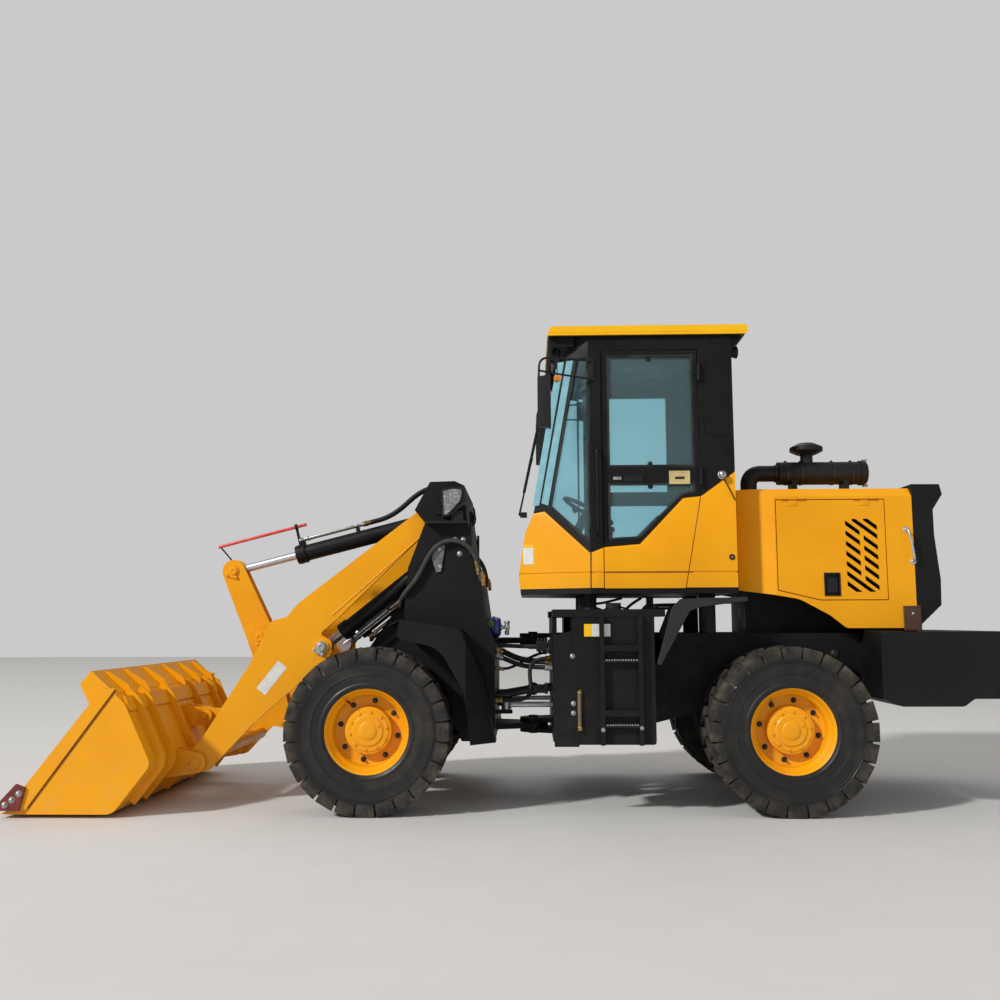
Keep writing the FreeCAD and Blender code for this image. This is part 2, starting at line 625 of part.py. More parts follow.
def cab_nodes():
    wall = cab_solid(0).cut(cab_solid(CAB_WALL))
    door_hole = side(DOOR_LINE, -CAB_HALF - 10, -CAB_HALF + CAB_WALL + 10)
    lights = light_cutters()
    opened = wall.cut(lights + [door_hole])
    lower = side(YELLOW, -800, 800)
    floor_zone = box(900, 2600, -800, 800, 1400, 1490)
    floor = opened.common(floor_zone)
    shell = opened.common(lower).cut(floor_zone).cut(cab_solid(0).cut(cab_solid(6)).common(box(900, 2600,
                                                     -800, 800, CREASE_Z, CREASE_Z + 12)))
    frame = join([opened.cut([lower, floor_zone])] + cab_hinges() + roof_band())
    glass_skin = cab_solid(GLASS_IN).cut(cab_solid(GLASS_IN + GLASS_T))
    panes = [glass_skin.common(light) for light in lights]
    return floor, shell, frame, panes


def hinge(axis_y, x, z0, leaf_x):
    """Knuckle round an upright hinge pin, with its leaf on the cab's outer face."""
    knuckle = post(x, axis_y, HINGE_R, z0, z0 + 40)
    leaf = box(min(x, leaf_x), max(x, leaf_x), -CAB_HALF - 5, -CAB_HALF, z0, z0 + 40)
    return knuckle.fuse(leaf)


def cab_hinges():
    x, y = DOOR_HINGE
    shapes = []
    for z in DOOR_HINGE_Z:
        shapes += [hinge(y, x, z - 61, x + 45), hinge(y, x, z + 21, x + 45), post(x, y, 5, z - 61, z + 61)]
    return shapes


def roof_band():
    """Black band under the roof, slanted behind, with the rail beside the door."""
    y0, y1 = -CAB_HALF + 20, CAB_HALF - 20
    front_band = box(1230, 1250, y0, y1, CAB_TOP_Z - 66, CAB_TOP_Z)
    cheeks = [side([(1230, CAB_TOP_Z), (1230, CAB_TOP_Z - 66), (1400, CAB_TOP_Z - 66), (1400, CAB_TOP_Z)],
                   y, y + 20) for y in (y0, y1 - 20)]
    overhang = side([(2505, CAB_TOP_Z), (2505, CAB_TOP_Z - 118), (2595, CAB_TOP_Z)], y0, y1)
    rail = pipe([V(1552, -CAB_HALF + 10, 2460), V(1552, -CAB_HALF - 45, 2460), V(1552, -CAB_HALF - 45, 1860),
                 V(1552, -CAB_HALF + 10, 1860)], 11, 30)
    return [front_band, overhang, rail] + cheeks


def lamps():
    """Work lamps under the roof's ends and the tail lamps in the counterweight."""
    shapes = []
    overhang = roof_band()[1]
    for x, lens in ((1290, -1), (2575, 1)):
        for y in (-470, 470):
            low = CAB_TOP_Z - 110
            case = Part.makeCone(34, 46, 50, V(x - lens * 25, y, low + 48), V(lens, 0, 0))
            if lens < 0:
                stem = box(1250, x, y - 14, y + 14, low + 50, low + 64)
            else:
                stem = box(x - 9, x + 9, y - 14, y + 14, low + 60, CAB_TOP_Z - 20)
            shapes.append(join([case, stem]).cut(overhang))
    for y in (-TAIL_LAMP_Y, TAIL_LAMP_Y):
        shapes.append(box(TAIL_X - LAMP_DEEP, TAIL_X - 2, y - 80, y + 80, 1035, 1105))
    return shapes


def door_nodes():
    low = -CAB_HALF
    slab = inset(DOOR_LINE, DOOR_GAP, lambda u, v: V(u, low, v), V(0, CAB_WALL, 0))
    holes = [side(points, low - 1, low + CAB_WALL + 1) for points in (DOOR_TOP_LIGHT, DOOR_LOW_LIGHT)]
    slab = slab.cut(holes)
    lower = side(YELLOW, -800, -600)
    panel = slab.common(lower)
    x, y = DOOR_HINGE
    bores = [post(x, y, 5 + PIN_GAP, z - 30, z + 30) for z in DOOR_HINGE_Z]
    knuckles = [hinge(y, x, z - 20, x - 45).cut(bores) for z in DOOR_HINGE_Z]
    frame = join([slab.cut(lower)] + knuckles)
    near = low + GLASS_IN
    panes = [side(points, near, near + GLASS_T) for points in (DOOR_TOP_LIGHT, DOOR_LOW_LIGHT)]
    return panel, frame, panes


def cab_roof():
    outline = [(1214, CAB_TOP_Z), (2600, CAB_TOP_Z), (2630, CAB_TOP_Z + 30), (2620, CAB_TOP_Z + ROOF_T, 20)]
    outline += [(1234, CAB_TOP_Z + ROOF_T, 20)]
    cap = side(outline, -CAB_HALF - 30, CAB_HALF + 30)
    eyes = [Part.makeTorus(16, 5, V(1531, y, CAB_TOP_Z + ROOF_T + 12), V(0, 1, 0)) for y in (-640, 640)]
    return join([cap] + eyes)


def cab_mounts():
    top = TANK_Z[1] + PLATFORM_T
    return both_sides([post(1500, -520, 50, top, CAB_LOW_Z), post(2350, -380, 60, FRAME_TOP_Z, CAB_LOW_Z)])


def seat():
    base = box(1960, 2300, -200, 200, 1490, 1790)
    cushion = side([(1900, 1790, 20), (2360, 1790, 20), (2360, 1900, 40), (1900, 1920, 40)], -240, 240)
    back = side([(2290, 1901), (2380, 1901, 30), (2470, 2560, 40), (2380, 2580, 40)], -230, 230)
    return join([base, cushion, back])


def controls():
    dash = side([(1150, 1490), (1400, 1490), (1370, 1900, 40), (1250, 2020, 40), (1160, 1850, 40)], -250, 250)
    column = bar(V(1340, 0, 1750), V(1530, 0, 2100), 35)
    wheel = Part.makeTorus(200, 16, V(1530, 0, 2100), V(180, 0, 330))
    spoke = bar(V(1530, -200, 2100), V(1530, 200, 2100), 14)
    return [join([dash, column, wheel, spoke])]


def mirror_arm():
    top = CAB_TOP_Z - 150
    tube = pipe([V(1330, -600, top), V(1240, -800, top), V(1240, -800, top - 370)], 14, 60)
    low = top - 380
    head = side([(1215, low, 15), (1265, low, 15), (1265, low + 320, 15), (1215, low + 320, 15)], -880, -830)
    neck = box(1228, 1252, -831, -795, low + 110, low + 160)
    return join([tube, head, neck])


# Hood

HOOD_LINE = [(2560, 1474), (2760, 1445), (2958, 1410, 200), (3161, 1299, 100), (3274, 1209, 60), (3760, 1209)]
HOOD_LINE += [(3760, HOOD_TOP_Z), (2560, HOOD_TOP_Z)]
HATCH_TOP_Z = HOOD_TOP_Z - 80
HATCH = [(2808, 1470), (3100, 1400), (3572, 1400), (3572, HATCH_TOP_Z), (2808, HATCH_TOP_Z)]
HATCH_HINGE = (-HOOD_HALF - 8, HATCH_TOP_Z + 4)
HATCH_HINGE_X = (2900, 3400)


def hood_solid(depth):
    low = -HOOD_HALF + depth
    chamfer = 60
    section = [(low, 1000), (low, HOOD_TOP_Z - chamfer - depth * 0.4), (low + chamfer, HOOD_TOP_Z - depth)]
    section += [(-low - chamfer, HOOD_TOP_Z - depth), (-low, HOOD_TOP_Z - chamfer - depth * 0.4)]
    section += [(-low, 1000)]
    return front(section, 2560 + depth, 3760 - depth)


def hood_knuckle(x, length, leaf_z):
    """Knuckle along the top of a side door, with its leaf on the hood's outer face."""
    knuckle = Part.makeCylinder(8, length, V(x, HATCH_HINGE[0], HATCH_HINGE[1]), V(1, 0, 0))
    z0, z1 = sorted((HATCH_HINGE[1], leaf_z))
    return knuckle.fuse(box(x, x + length, -HOOD_HALF - 4, -HOOD_HALF, z0, z1))


def hood_hinges():
    shapes = []
    for x in HATCH_HINGE_X:
        shapes += [hood_knuckle(x + shift, 50, HATCH_HINGE[1] + 12) for shift in (-52, 62)]
        shapes.append(Part.makeCylinder(3, 164, V(x - 52, HATCH_HINGE[0], HATCH_HINGE[1]), V(1, 0, 0)))
    return shapes


def engine_hood():
    outline = side(HOOD_LINE, -HOOD_HALF, HOOD_HALF)
    nose = plan([(2560, -500), (2800, -HOOD_HALF), (3760, -HOOD_HALF), (3760, HOOD_HALF), (2800, HOOD_HALF),
                 (2560, 500)], 1100, 2300)
    inner_nose = plan([(2572, -488), (2800, -HOOD_HALF + HOOD_T), (3748, -HOOD_HALF + HOOD_T),
                       (3748, HOOD_HALF - HOOD_T), (2800, HOOD_HALF - HOOD_T), (2572, 488)], 1000, 2300)
    shell = hood_solid(0).common(outline).common(nose).cut(hood_solid(HOOD_T).common(inner_nose))
    hole = side(HATCH, -HOOD_HALF - 10, -HOOD_HALF + HOOD_T + 10)
    return join([shell.cut(pair(hole))] + both_sides(hood_hinges()))


LOUVRE_DROP = 0.62
LOUVRES = [
    # start x, end x, upper edge z at the start
    (3290, 3397, 1952), (3290, 3397, 1880), (3290, 3397, 1809), (3290, 3397, 1738), (3290, 3397, 1667),
    (3290, 3485, 1597), (3290, 3397, 1526), (3426, 3530, 1952), (3345, 3530, 1958), (3426, 3530, 1845),
    (3426, 3530, 1775), (3426, 3530, 1705), (3426, 3530, 1634), (3426, 3530, 1563),
]
LOUVRE_H = 41


def louvre_slots():
    zone = box(3285, 3535, -HOOD_HALF - 5, -HOOD_HALF + HOOD_T + 5, 1460, 1960)
    slots = []
    for x0, x1, z in LOUVRES:
        fall = (x1 - x0) * LOUVRE_DROP
        slots.append(side([(x0, z), (x1, z - fall), (x1, z - fall - LOUVRE_H), (x0, z - LOUVRE_H)],
                          -HOOD_HALF - 5, -HOOD_HALF + HOOD_T + 5).common(zone))
    return slots


def hood_door():
    panel = inset(HATCH, DOOR_GAP, lambda u, v: V(u, -HOOD_HALF, v), V(0, HOOD_T, 0))
    knuckles = [hood_knuckle(x, 60, HATCH_HINGE[1] - 50) for x in HATCH_HINGE_X]
    bore = Part.makeCylinder(3 + PIN_GAP, 900, V(2750, HATCH_HINGE[0], HATCH_HINGE[1]), V(1, 0, 0))
    return join([panel] + knuckles).cut([bore] + louvre_slots())


def rear_shroud():
    profile = [(3762, 1209), (3930, 1366), (3935, 1540), (3905, 1856), (3905, HOOD_TOP_Z - 157)]
    profile += [(3974, HOOD_TOP_Z - 51), (3957, HOOD_TOP_Z + 21), (3762, HOOD_TOP_Z + 22)]
    outer = side(profile, -HOOD_HALF, HOOD_HALF)
    inner = box(3700, 3880, -HOOD_HALF + 30, HOOD_HALF - 30, 1260, HOOD_TOP_Z - 30)
    grille = box(3700, 4000, -450, 450, 1420, 2000)
    slats = [box(3875, 3895, -450, 450, z, z + 14) for z in range(1450, 1990, 45)]
    posts = [box(3760, 3790, y - 15, y + 15, 1184, 1260) for y in (-500, 500)]
    return join([outer.cut([inner, grille])] + slats + posts)


def air_cleaner():
    y, z = -200, HOOD_TOP_Z + 160
    can = Part.makeCylinder(85, 600, V(2930, y, z), V(1, 0, 0))
    cap = Part.makeCylinder(92, 40, V(3530, y, z), V(1, 0, 0))
    saddles = [box(x, x + 40, y - 60, y + 60, HOOD_TOP_Z, z) for x in (3020, 3400)]
    neck = post(3150, y, 45, z, z + 150)
    profile = [(0, 140), (70, 140), (120, 165, 8), (120, 195, 8), (60, 225, 20), (0, 225)]
    bowl = turned_up([(p[0], z + p[1]) + tuple(p[2:]) for p in profile], V(3150, y, 0))
    elbow = pipe([V(2960, y, z), V(2715, y, z), V(2715, y, HOOD_TOP_Z)], 60, 80)
    return join([can, cap, neck, bowl, elbow] + saddles)


# Hoses, each a route between fittings on the two pieces that it joins

HOSE_BEND = 75
LIFT_HOSE = [(138, 1382, -407), (160, 1400, -440), (160, 1420, -550), (190, 1460, -600), (270, 1545, -600)]
LIFT_HOSE += [(340, 1650, -600), (405, 1765, -600), (520, 1828, -600), (640, 1790, -600), (715, 1670, -600)]
LIFT_HOSE += [(738, 1545, -600)]
TILT_HOSE = [(-176.5, 2014), (-60, 2043.7), (70, 2110), (170, 2205), (270, 2275), (390, 2300)]
TILT_HOSE += [(520.9, 2267.8)]
GAP_HOSES = [
    (15, [(838, -290, 1060), (940, -290, 1010), (1060, -290, 968), (1234, -290, 965)]),
    (15, [(838, -340, 1020), (940, -340, 975), (1060, -340, 932), (1234, -340, 930)]),
    (14, [(1234, -410, 1000), (1150, -410, 995), (1078, -410, 930), (1080, -410, 800), (1010, -410, 712),
          (832, -410, 705)]),
    (13, [(838, 300, 1050), (940, 300, 1000), (1060, 300, 960), (1234, 300, 955)]),
]


def spaced(route):
    return [V(x, y, z) for x, y, z in route]


def lift_hose():
    route = [V(x, y, z) for x, z, y in LIFT_HOSE]
    hose = pipe(route, 11, 40)
    plate = box(600, 680, -TOWER_OUT - TOWER_T - 20, -TOWER_OUT - TOWER_T, 1560, 1760)
    return join([hose, plate])


def tilt_hoses():
    hoses = [pipe([V(x, y, z) for x, z in TILT_HOSE], 10, 90) for y in (-30, 30)]
    return hoses


def gap_hoses():
    return [pipe(spaced(route), radius, HOSE_BEND) for radius, route in GAP_HOSES]


# Shafts from the gearbox to the front axle, with their joint on the articulation pivot

JOINT_Z = 760


def shaft_front():
    tube = bar(V(165, 0, 600), V(PIVOT_X - 30, 0, JOINT_Z - 5), 32)
    ball = Part.makeSphere(48, V(PIVOT_X, 0, JOINT_Z))
    flange = bar(V(150, 0, 597), V(230, 0, 612), 60)
    return join([tube, ball, flange]).cut(axle(0, 700, 255))


def shaft_rear():
    tube = bar(V(PIVOT_X + 90, 0, JOINT_Z + 8), V(1950, 0, 850), 32)
    plates = []
    for y in (-76, 64):
        plates.append(pin((PIVOT_X, JOINT_Z), 28, y, y + 12))
        plates.append(box(PIVOT_X, PIVOT_X + 100, y, y + 12, JOINT_Z - 28, JOINT_Z + 28))
    plates.append(box(PIVOT_X + 85, PIVOT_X + 110, -76, 76, JOINT_Z - 34, JOINT_Z + 40))
    flange = bar(V(1900, 0, 845), V(1950, 0, 850), 60)
    return join(plates + [tube, flange]).cut(powertrain()[1])


# Rams

LIFT = {"eye_r": 55, "width": 60, "barrel_r": 55, "rod_r": 32, "gland_x": 920, "rod_x": 140, "back": 0,
        "neck": 60, "pin_r": 30, "pipes": [(-78, 0, 380, 880, 12), (-104, -22, 480, 900, 8)]}
TILT = {"eye_r": 60, "width": 56, "barrel_r": 62, "rod_r": 30, "gland_x": 1170, "rod_x": 450, "back": 300,
        "neck": 64, "pin_r": 32, "pipes": [(105, -30, 600, 1120, 9), (105, 30, 600, 1120, 9)]}
STEER = {"eye_r": 36, "width": 64, "barrel_r": 42, "rod_r": 20, "gland_x": 500, "rod_x": 300, "back": 235,
         "neck": 66, "pin_r": 22}


def level_indicator():
    """Bar that slides through a guide on the tilt cylinder, fixed to its rod's eye."""
    along = V(BOOM_PIN[0] - CRANK_TOP[0], 0, BOOM_PIN[1] - CRANK_TOP[1]).normalize()
    start = V(-1308, 0, 1839)
    rail = bar(start, start + along * 690, 10)
    foot = V(CRANK_TOP[0] + 10, 0, CRANK_TOP[1] + 30)
    eye_r = TILT["eye_r"]
    return join([rail, bar(start + along * 5, foot, 9)]).cut(pin(CRANK_TOP, eye_r, -eye_r, eye_r))


def indicator_guide():
    """Post on the tilt cylinder's gland, drawn in the cylinder's own frame."""
    post_up = box(1120, 1138, 50, 196, -10, 10)
    ring = Part.makeCylinder(24, 18, V(1120, 214, 0), V(1, 0, 0))
    return post_up.fuse(ring).cut(Part.makeCylinder(13, 30, V(1114, 214, 0), V(1, 0, 0)))


def save_rams():
    across = V(0, 1, 0)
    lift = ram(V(LIFT_BASE[0], -LIFT_Y, LIFT_BASE[1]), V(LIFT_EYE[0], -LIFT_Y, LIFT_EYE[1]), across, LIFT)
    steer_base = V(STEER_BASE[0], -STEER_BASE[1], STEER_Z)
    steer_eye = V(STEER_EYE[0], -STEER_EYE[1], STEER_Z)
    steer = ram(steer_base, steer_eye, V(0, 0, 1), STEER)
    for name, shapes in (("lift", lift), ("steer", steer)):
        for part, shape in zip(("barrel", "rod"), shapes):
            save("%s_%s_left" % (name, part), [shape])
            save("%s_%s_right" % (name, part), [flip(shape)])
    tilt_base, tilt_eye = V(BOOM_PIN[0], 0, BOOM_PIN[1]), V(CRANK_TOP[0], 0, CRANK_TOP[1])
    tilt = ram(tilt_base, tilt_eye, across, TILT)
    guide = placed(indicator_guide(), tilt_base, tilt_eye - tilt_base, across)
    save("tilt_barrel", [tilt[0].fuse(guide)])
    save("tilt_rod", [tilt[1]])
    save("level_indicator", [level_indicator()])


def main():
    os.makedirs("parts", exist_ok=True)
    save_wheels()
    save("front_axle", [axle(0, 700, 255)])
    save("rear_axle", [axle(WHEELBASE, 692, 437)])
    save("front_frame", [front_frame()])
    save("front_fenders", pair(front_fender()))
    save("headlamps", pair(headlamp()))
    save("boom", [boom()])
    save("bell_crank", [bell_crank()])
    save("tilt_link", [tilt_link()])
    save("bucket", [bucket()])
    save("cutting_edge", [cutting_edge()])
    save("side_cutters", pair(side_cutter()))
    save_rams()
    save("rear_frame", [rear_frame()])
    save("counterweight", [counterweight()])
    save("rear_fenders", pair(rear_fender()))
    save("side_tanks", pair(side_tank()))
    save("steps", pair(steps()))
    save("powertrain", powertrain())
    floor, shell, frame, panes = cab_nodes()
    save("cab_floor", [floor])
    save("cab_shell", [shell])
    save("cab_frame", [frame])
    save("cab_windows", panes)
    save("cab_roof", [cab_roof()])
    save("cab_mounts", cab_mounts())
    panel, door_frame, door_panes = door_nodes()
    save("door_panel", [panel])
    save("door_frame", [door_frame])
    save("door_glass", door_panes)
    save("seat", [seat()])
    save("controls", controls())
    save("lamps", lamps())
    save("shaft_front", [shaft_front()])
    save("shaft_rear", [shaft_rear()])
    save("tilt_hoses", tilt_hoses())
    save("lift_hose_left", [lift_hose()])
    save("lift_hose_right", [flip(lift_hose())])
    save("gap_hoses", gap_hoses())
    save("mirrors", pair(mirror_arm()))
    save("engine_hood", [engine_hood()])
    save("hood_door_left", [hood_door()])
    save("hood_door_right", [flip(hood_door())])
    save("rear_shroud", [rear_shroud()])
    save("air_cleaner", [air_cleaner()])


main()
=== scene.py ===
import bpy
import json
import math
from mathutils import Vector, Matrix


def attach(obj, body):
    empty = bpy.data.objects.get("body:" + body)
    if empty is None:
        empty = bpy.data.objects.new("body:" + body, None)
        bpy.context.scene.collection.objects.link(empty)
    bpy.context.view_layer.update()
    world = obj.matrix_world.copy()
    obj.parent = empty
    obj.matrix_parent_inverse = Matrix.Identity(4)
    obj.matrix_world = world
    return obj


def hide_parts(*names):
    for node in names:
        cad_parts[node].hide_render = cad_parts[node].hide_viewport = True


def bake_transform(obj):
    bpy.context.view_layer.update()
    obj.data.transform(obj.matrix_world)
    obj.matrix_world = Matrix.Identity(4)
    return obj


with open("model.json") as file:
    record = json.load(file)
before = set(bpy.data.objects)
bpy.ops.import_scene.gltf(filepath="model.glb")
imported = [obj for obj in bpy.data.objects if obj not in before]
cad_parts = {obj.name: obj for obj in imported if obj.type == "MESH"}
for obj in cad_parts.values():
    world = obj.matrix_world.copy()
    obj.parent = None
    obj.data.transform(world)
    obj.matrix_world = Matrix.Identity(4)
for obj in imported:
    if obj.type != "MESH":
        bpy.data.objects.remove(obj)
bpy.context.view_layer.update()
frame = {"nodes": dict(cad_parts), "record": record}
NODES = frame["nodes"]

# Places are in millimetres from the front axle, as on a drawing. The nose is toward -X and the left side toward -Y.
FRONT_AXLE_X = -1.010
TYRE_R = 545
TRACK = 1620
WHEELBASE = 2785
ARM_OUT = 510
TOWER_FACE = 575
BUCKET_HALF = 1050
HOME = Vector((FRONT_AXLE_X, 0, 0))
FRONT, REAR = "front_frame", "rear_frame"
SIDES = ((-1, "left"), (1, "right"))
CUTTER_DEPTH = 28
BOOSTER_AXIS = (-452, 1222)
CAN_AXIS = (-200, 2350)
LAMP_FACE = TOWER_FACE + 90
CAB_HALF = 720
CORNER_X, CORNER_RUN, CORNER_FALL = 1500, 600, 330
WHEELS = [("front", "left", 0, -1), ("front", "right", 0, 1), ("rear", "left", WHEELBASE, -1),
          ("rear", "right", WHEELBASE, 1)]


# Small tools of the bench


def at(x, y, z):
    return Vector((x / 1000 + FRONT_AXLE_X, y / 1000, z / 1000))


def deselect():
    if bpy.context.object and bpy.context.object.mode != "OBJECT":
        bpy.ops.object.mode_set(mode="OBJECT")
    bpy.ops.object.select_all(action="DESELECT")


def choose(made):
    deselect()
    made.select_set(True)
    bpy.context.view_layer.objects.active = made


def settle(name):
    """Names the new primitive and puts its place, turn and scale into its mesh."""
    made = bpy.context.object
    made.name = name
    bpy.ops.object.transform_apply(location=True, rotation=True, scale=True)
    return made


def edit(made):
    choose(made)
    bpy.ops.object.mode_set(mode="EDIT")
    bpy.ops.mesh.select_all(action="SELECT")


def done():
    bpy.ops.object.mode_set(mode="OBJECT")


def marked(made, kind, wanted):
    """Opens a piece with only its wanted vertices, edges or faces selected."""
    edit(made)
    bpy.ops.mesh.select_mode(type=kind)
    bpy.ops.mesh.select_all(action="DESELECT")
    done()
    for item in {"VERT": made.data.vertices, "EDGE": made.data.edges, "FACE": made.data.polygons}[kind]:
        item.select = bool(wanted(item))
    bpy.ops.object.mode_set(mode="EDIT")


def pick(made, test):
    """Opens a piece with the faces selected whose middle, in millimetres, and outward way pass the test."""
    marked(made, "FACE", lambda face: test((face.center - HOME) * 1000, face.normal))


def pick_lines(made, test):
    """Opens a piece with the edges selected whose two ends, in millimetres, pass the test."""
    marked(made, "EDGE", lambda line: test(*[(made.data.vertices[i].co - HOME) * 1000 for i in line.vertices]))


def ease(made, size, steps=2):
    """Rounds a piece's edges by a size in millimetres, and leaves them sharp where it is 0."""
    if size:
        edit(made)
        bpy.ops.mesh.bevel(offset=size / 1000, segments=steps, profile=0.6, clamp_overlap=True)
        done()
    return made


def block(name, x, y, z, edge=3, steps=2):
    """Block between a pair of places along each axis."""
    deselect()
    bpy.ops.mesh.primitive_cube_add(size=1, location=at(sum(x) / 2, sum(y) / 2, sum(z) / 2))
    bpy.context.object.scale = [abs(pair[1] - pair[0]) / 1000 for pair in (x, y, z)]
    return ease(settle(name), edge, steps)


def rod(name, start, end, radius, sides=24, edge=0, tip=None):
    """Round bar between two points in millimetres, or a cone where the tip has its own radius."""
    deselect()
    a, b = at(*start), at(*end)
    along = b - a
    tip = radius if tip is None else tip
    bpy.ops.mesh.primitive_cone_add(vertices=sides, radius1=radius / 1000, radius2=tip / 1000, depth=along.length,
                                    location=(a + b) / 2, rotation=along.to_track_quat("Z", "Y").to_euler())
    made = settle(name)
    if edge:
        way = along.normalized()

        def is_rim(line):
            u, v = [made.data.vertices[i].co for i in line.vertices]
            return abs((u - v).normalized().dot(way)) < 0.3

        marked(made, "EDGE", is_rim)
        bpy.ops.mesh.bevel(offset=edge / 1000, segments=2, profile=0.6, clamp_overlap=True)
        done()
    return made


def smooth(made, angle=40):
    choose(made)
    bpy.ops.object.shade_smooth_by_angle(angle=math.radians(angle))
    return made


def joined(name, pieces):
    deselect()
    for piece in pieces:
        piece.select_set(True)
    bpy.context.view_layer.objects.active = pieces[0]
    if len(pieces) > 1:
        bpy.ops.object.join()
    made = bpy.context.object
    made.name = name
    return made


def twin(made, name):
    copy = made.copy()
    copy.data = made.data.copy()
    copy.name = name
    bpy.context.scene.collection.objects.link(copy)
    return copy


def mirrored(made, name):
    """The same piece on the machine's other side, as a mesh of its own."""
    copy = twin(made, name)
    choose(copy)
    copy.scale = (1, -1, 1)
    bpy.ops.object.transform_apply(location=True, rotation=True, scale=True)
    edit(copy)
    bpy.ops.mesh.normals_make_consistent(inside=False)
    done()
    return copy


def pair_of(name, made):
    """The piece and the same on the machine's other side, as one piece."""
    return joined(name, [made, mirrored(made, made.name + "_right")])


def draw_out(move):
    """Extrudes what is selected by a move in millimetres."""
    bpy.ops.mesh.extrude_region_move(TRANSFORM_OT_translate={"value": tuple(Vector(move) / 1000)})


def close_up():
    bpy.ops.mesh.select_mode(type="VERT")
    bpy.ops.mesh.select_all(action="SELECT")
    bpy.ops.mesh.normals_make_consistent(inside=False)
    done()


def sunk(made, rim, depth, way=(0, 1, 0)):
    """Presses the face that looks against the way inward by a depth, inside a rim."""
    pick(made, lambda p, n: n.dot(Vector(way)) < -0.9)
    bpy.ops.mesh.inset(thickness=rim / 1000)
    draw_out(Vector(way) * depth)
    done()
    return made


def turned(name, middle, stops, way=(0, -1, 0), sides=48, ring=False):
    """Turned piece: a circle drawn out loop by loop through (distance, radius) stops along its axis."""
    deselect()
    way = Vector(way).normalized()
    centre = at(*middle)
    distance, radius = stops[0]
    bpy.ops.mesh.primitive_circle_add(vertices=sides, radius=radius / 1000, location=centre + way * distance / 1000,
                                      rotation=way.to_track_quat("Z", "Y").to_euler())
    made = settle(name)
    edit(made)
    bpy.ops.mesh.select_mode(type="VERT")
    bpy.ops.mesh.select_all(action="SELECT")
    for onward, size in stops[1:]:
        draw_out(way * (onward - distance))
        if size == 0:
            bpy.ops.mesh.merge(type="CENTER")
        elif size != radius:
            share = size / radius
            bpy.ops.transform.resize(value=(share, share, share), center_override=centre + way * onward / 1000)
        distance, radius = onward, size
    bpy.ops.mesh.select_all(action="SELECT")
    if ring:
        bpy.ops.mesh.select_all(action="DESELECT")
        bpy.ops.mesh.select_mode(type="EDGE")
        bpy.ops.mesh.select_non_manifold(extend=False, use_wire=False, use_multi_face=False,
                                         use_non_contiguous=False, use_verts=False)
        bpy.ops.mesh.bridge_edge_loops()
    else:
        bpy.ops.mesh.fill_holes(sides=0)
    close_up()
    return made


def flat_face(name, outline, y):
    """Face cut to an (x, z) outline at y, opened with all of it selected."""
    deselect()
    corners = [at(x, y, z) for x, z in outline]
    bpy.ops.mesh.primitive_circle_add(vertices=len(corners), radius=0.1, fill_type="NGON",
                                      location=sum(corners, Vector()) / len(corners), rotation=(math.pi / 2, 0, 0))
    made = settle(name)
    for point, corner in zip(made.data.vertices, corners):
        point.co = corner
    edit(made)
    return made


def cut_plate(name, outline, y, depth, edge=2, steps=2):
    """Plate cut to an (x, z) outline, its face at y and its depth toward +y, or -y where it is negative."""
    made = flat_face(name, outline, y)
    draw_out((0, depth, 0))
    close_up()
    return ease(made, edge, steps)


def frame_plate(name, outline, y, depth, width, edge=1.5):
    """Frame round an opening: the outline's plate with its middle cut away, width inside the outline."""
    made = flat_face(name, outline, y)
    bpy.ops.mesh.select_mode(type="FACE")
    bpy.ops.mesh.select_all(action="SELECT")
    bpy.ops.mesh.inset(thickness=width / 1000)
    bpy.ops.mesh.delete(type="FACE")
    bpy.ops.mesh.select_all(action="SELECT")
    draw_out((0, depth, 0))
    close_up()
    return ease(made, edge)


def moved_by(made, turn):
    """Places a piece by a matrix and puts the place into its mesh."""
    choose(made)
    made.matrix_world = turn
    bpy.ops.object.transform_apply(location=True, rotation=True, scale=True)
    return made


def copied(made, name, move):
    return moved_by(twin(made, name), Matrix.Translation(Vector(move) / 1000))


def swung(made, middle, way, degrees):
    """Turns a piece about an axis through a point."""
    centre = at(*middle)
    turn = Matrix.Rotation(math.radians(degrees), 4, Vector(way))
    return moved_by(made, Matrix.Translation(centre) @ turn @ Matrix.Translation(-centre))


def round_axis(made, name, middle, way, count, first=0.0):
    """The piece and its copies round an axis, each with its own mesh, joined into one."""
    pieces = [made] + [swung(twin(made, name), middle, way, 360 * i / count) for i in range(1, count)]
    if first:
        for piece in pieces:
            swung(piece, middle, way, first)
    return joined(name, pieces)


def along_row(made, name, moves):
    """The piece and a copy at each move, joined into one."""
    return joined(name, [made] + [copied(made, name, move) for move in moves])


def bolt(name, place, way, radius=11, height=8, sides=6):
    """Head on its washer, seated on a face that looks along way."""
    way = Vector(way).normalized()
    seat = Vector(place)
    washer = rod(name, seat - way * 0.5, seat + way * 2.5, radius * 1.35, 20, 0.6)
    head = rod(name, seat + way * 2, seat + way * height, radius, sides, radius * 0.14)
    return joined(name, [washer, head])


def dome(name, place, way, radius=12, height=9):
    """Domed bolt head on its washer."""
    stops = [(-0.5, radius * 1.25), (2, radius * 1.25), (2.5, radius), (height * 0.6, radius * 0.92),
             (height * 0.9, radius * 0.6), (height, radius * 0.2)]
    return smooth(turned(name, place, stops, way, 20), 50)


def row_at(first, name, places):
    """The piece that stands at the first place, and a copy at each other place."""
    return along_row(first, name, [Vector(place) - Vector(places[0]) for place in places[1:]])


def bolts(name, places, way, radius=11, height=8, sides=6):
    return row_at(bolt(name, places[0], way, radius, height, sides), name, places)


def domes(name, places, way, radius=12, height=9):
    return row_at(dome(name, places[0], way, radius, height), name, places)


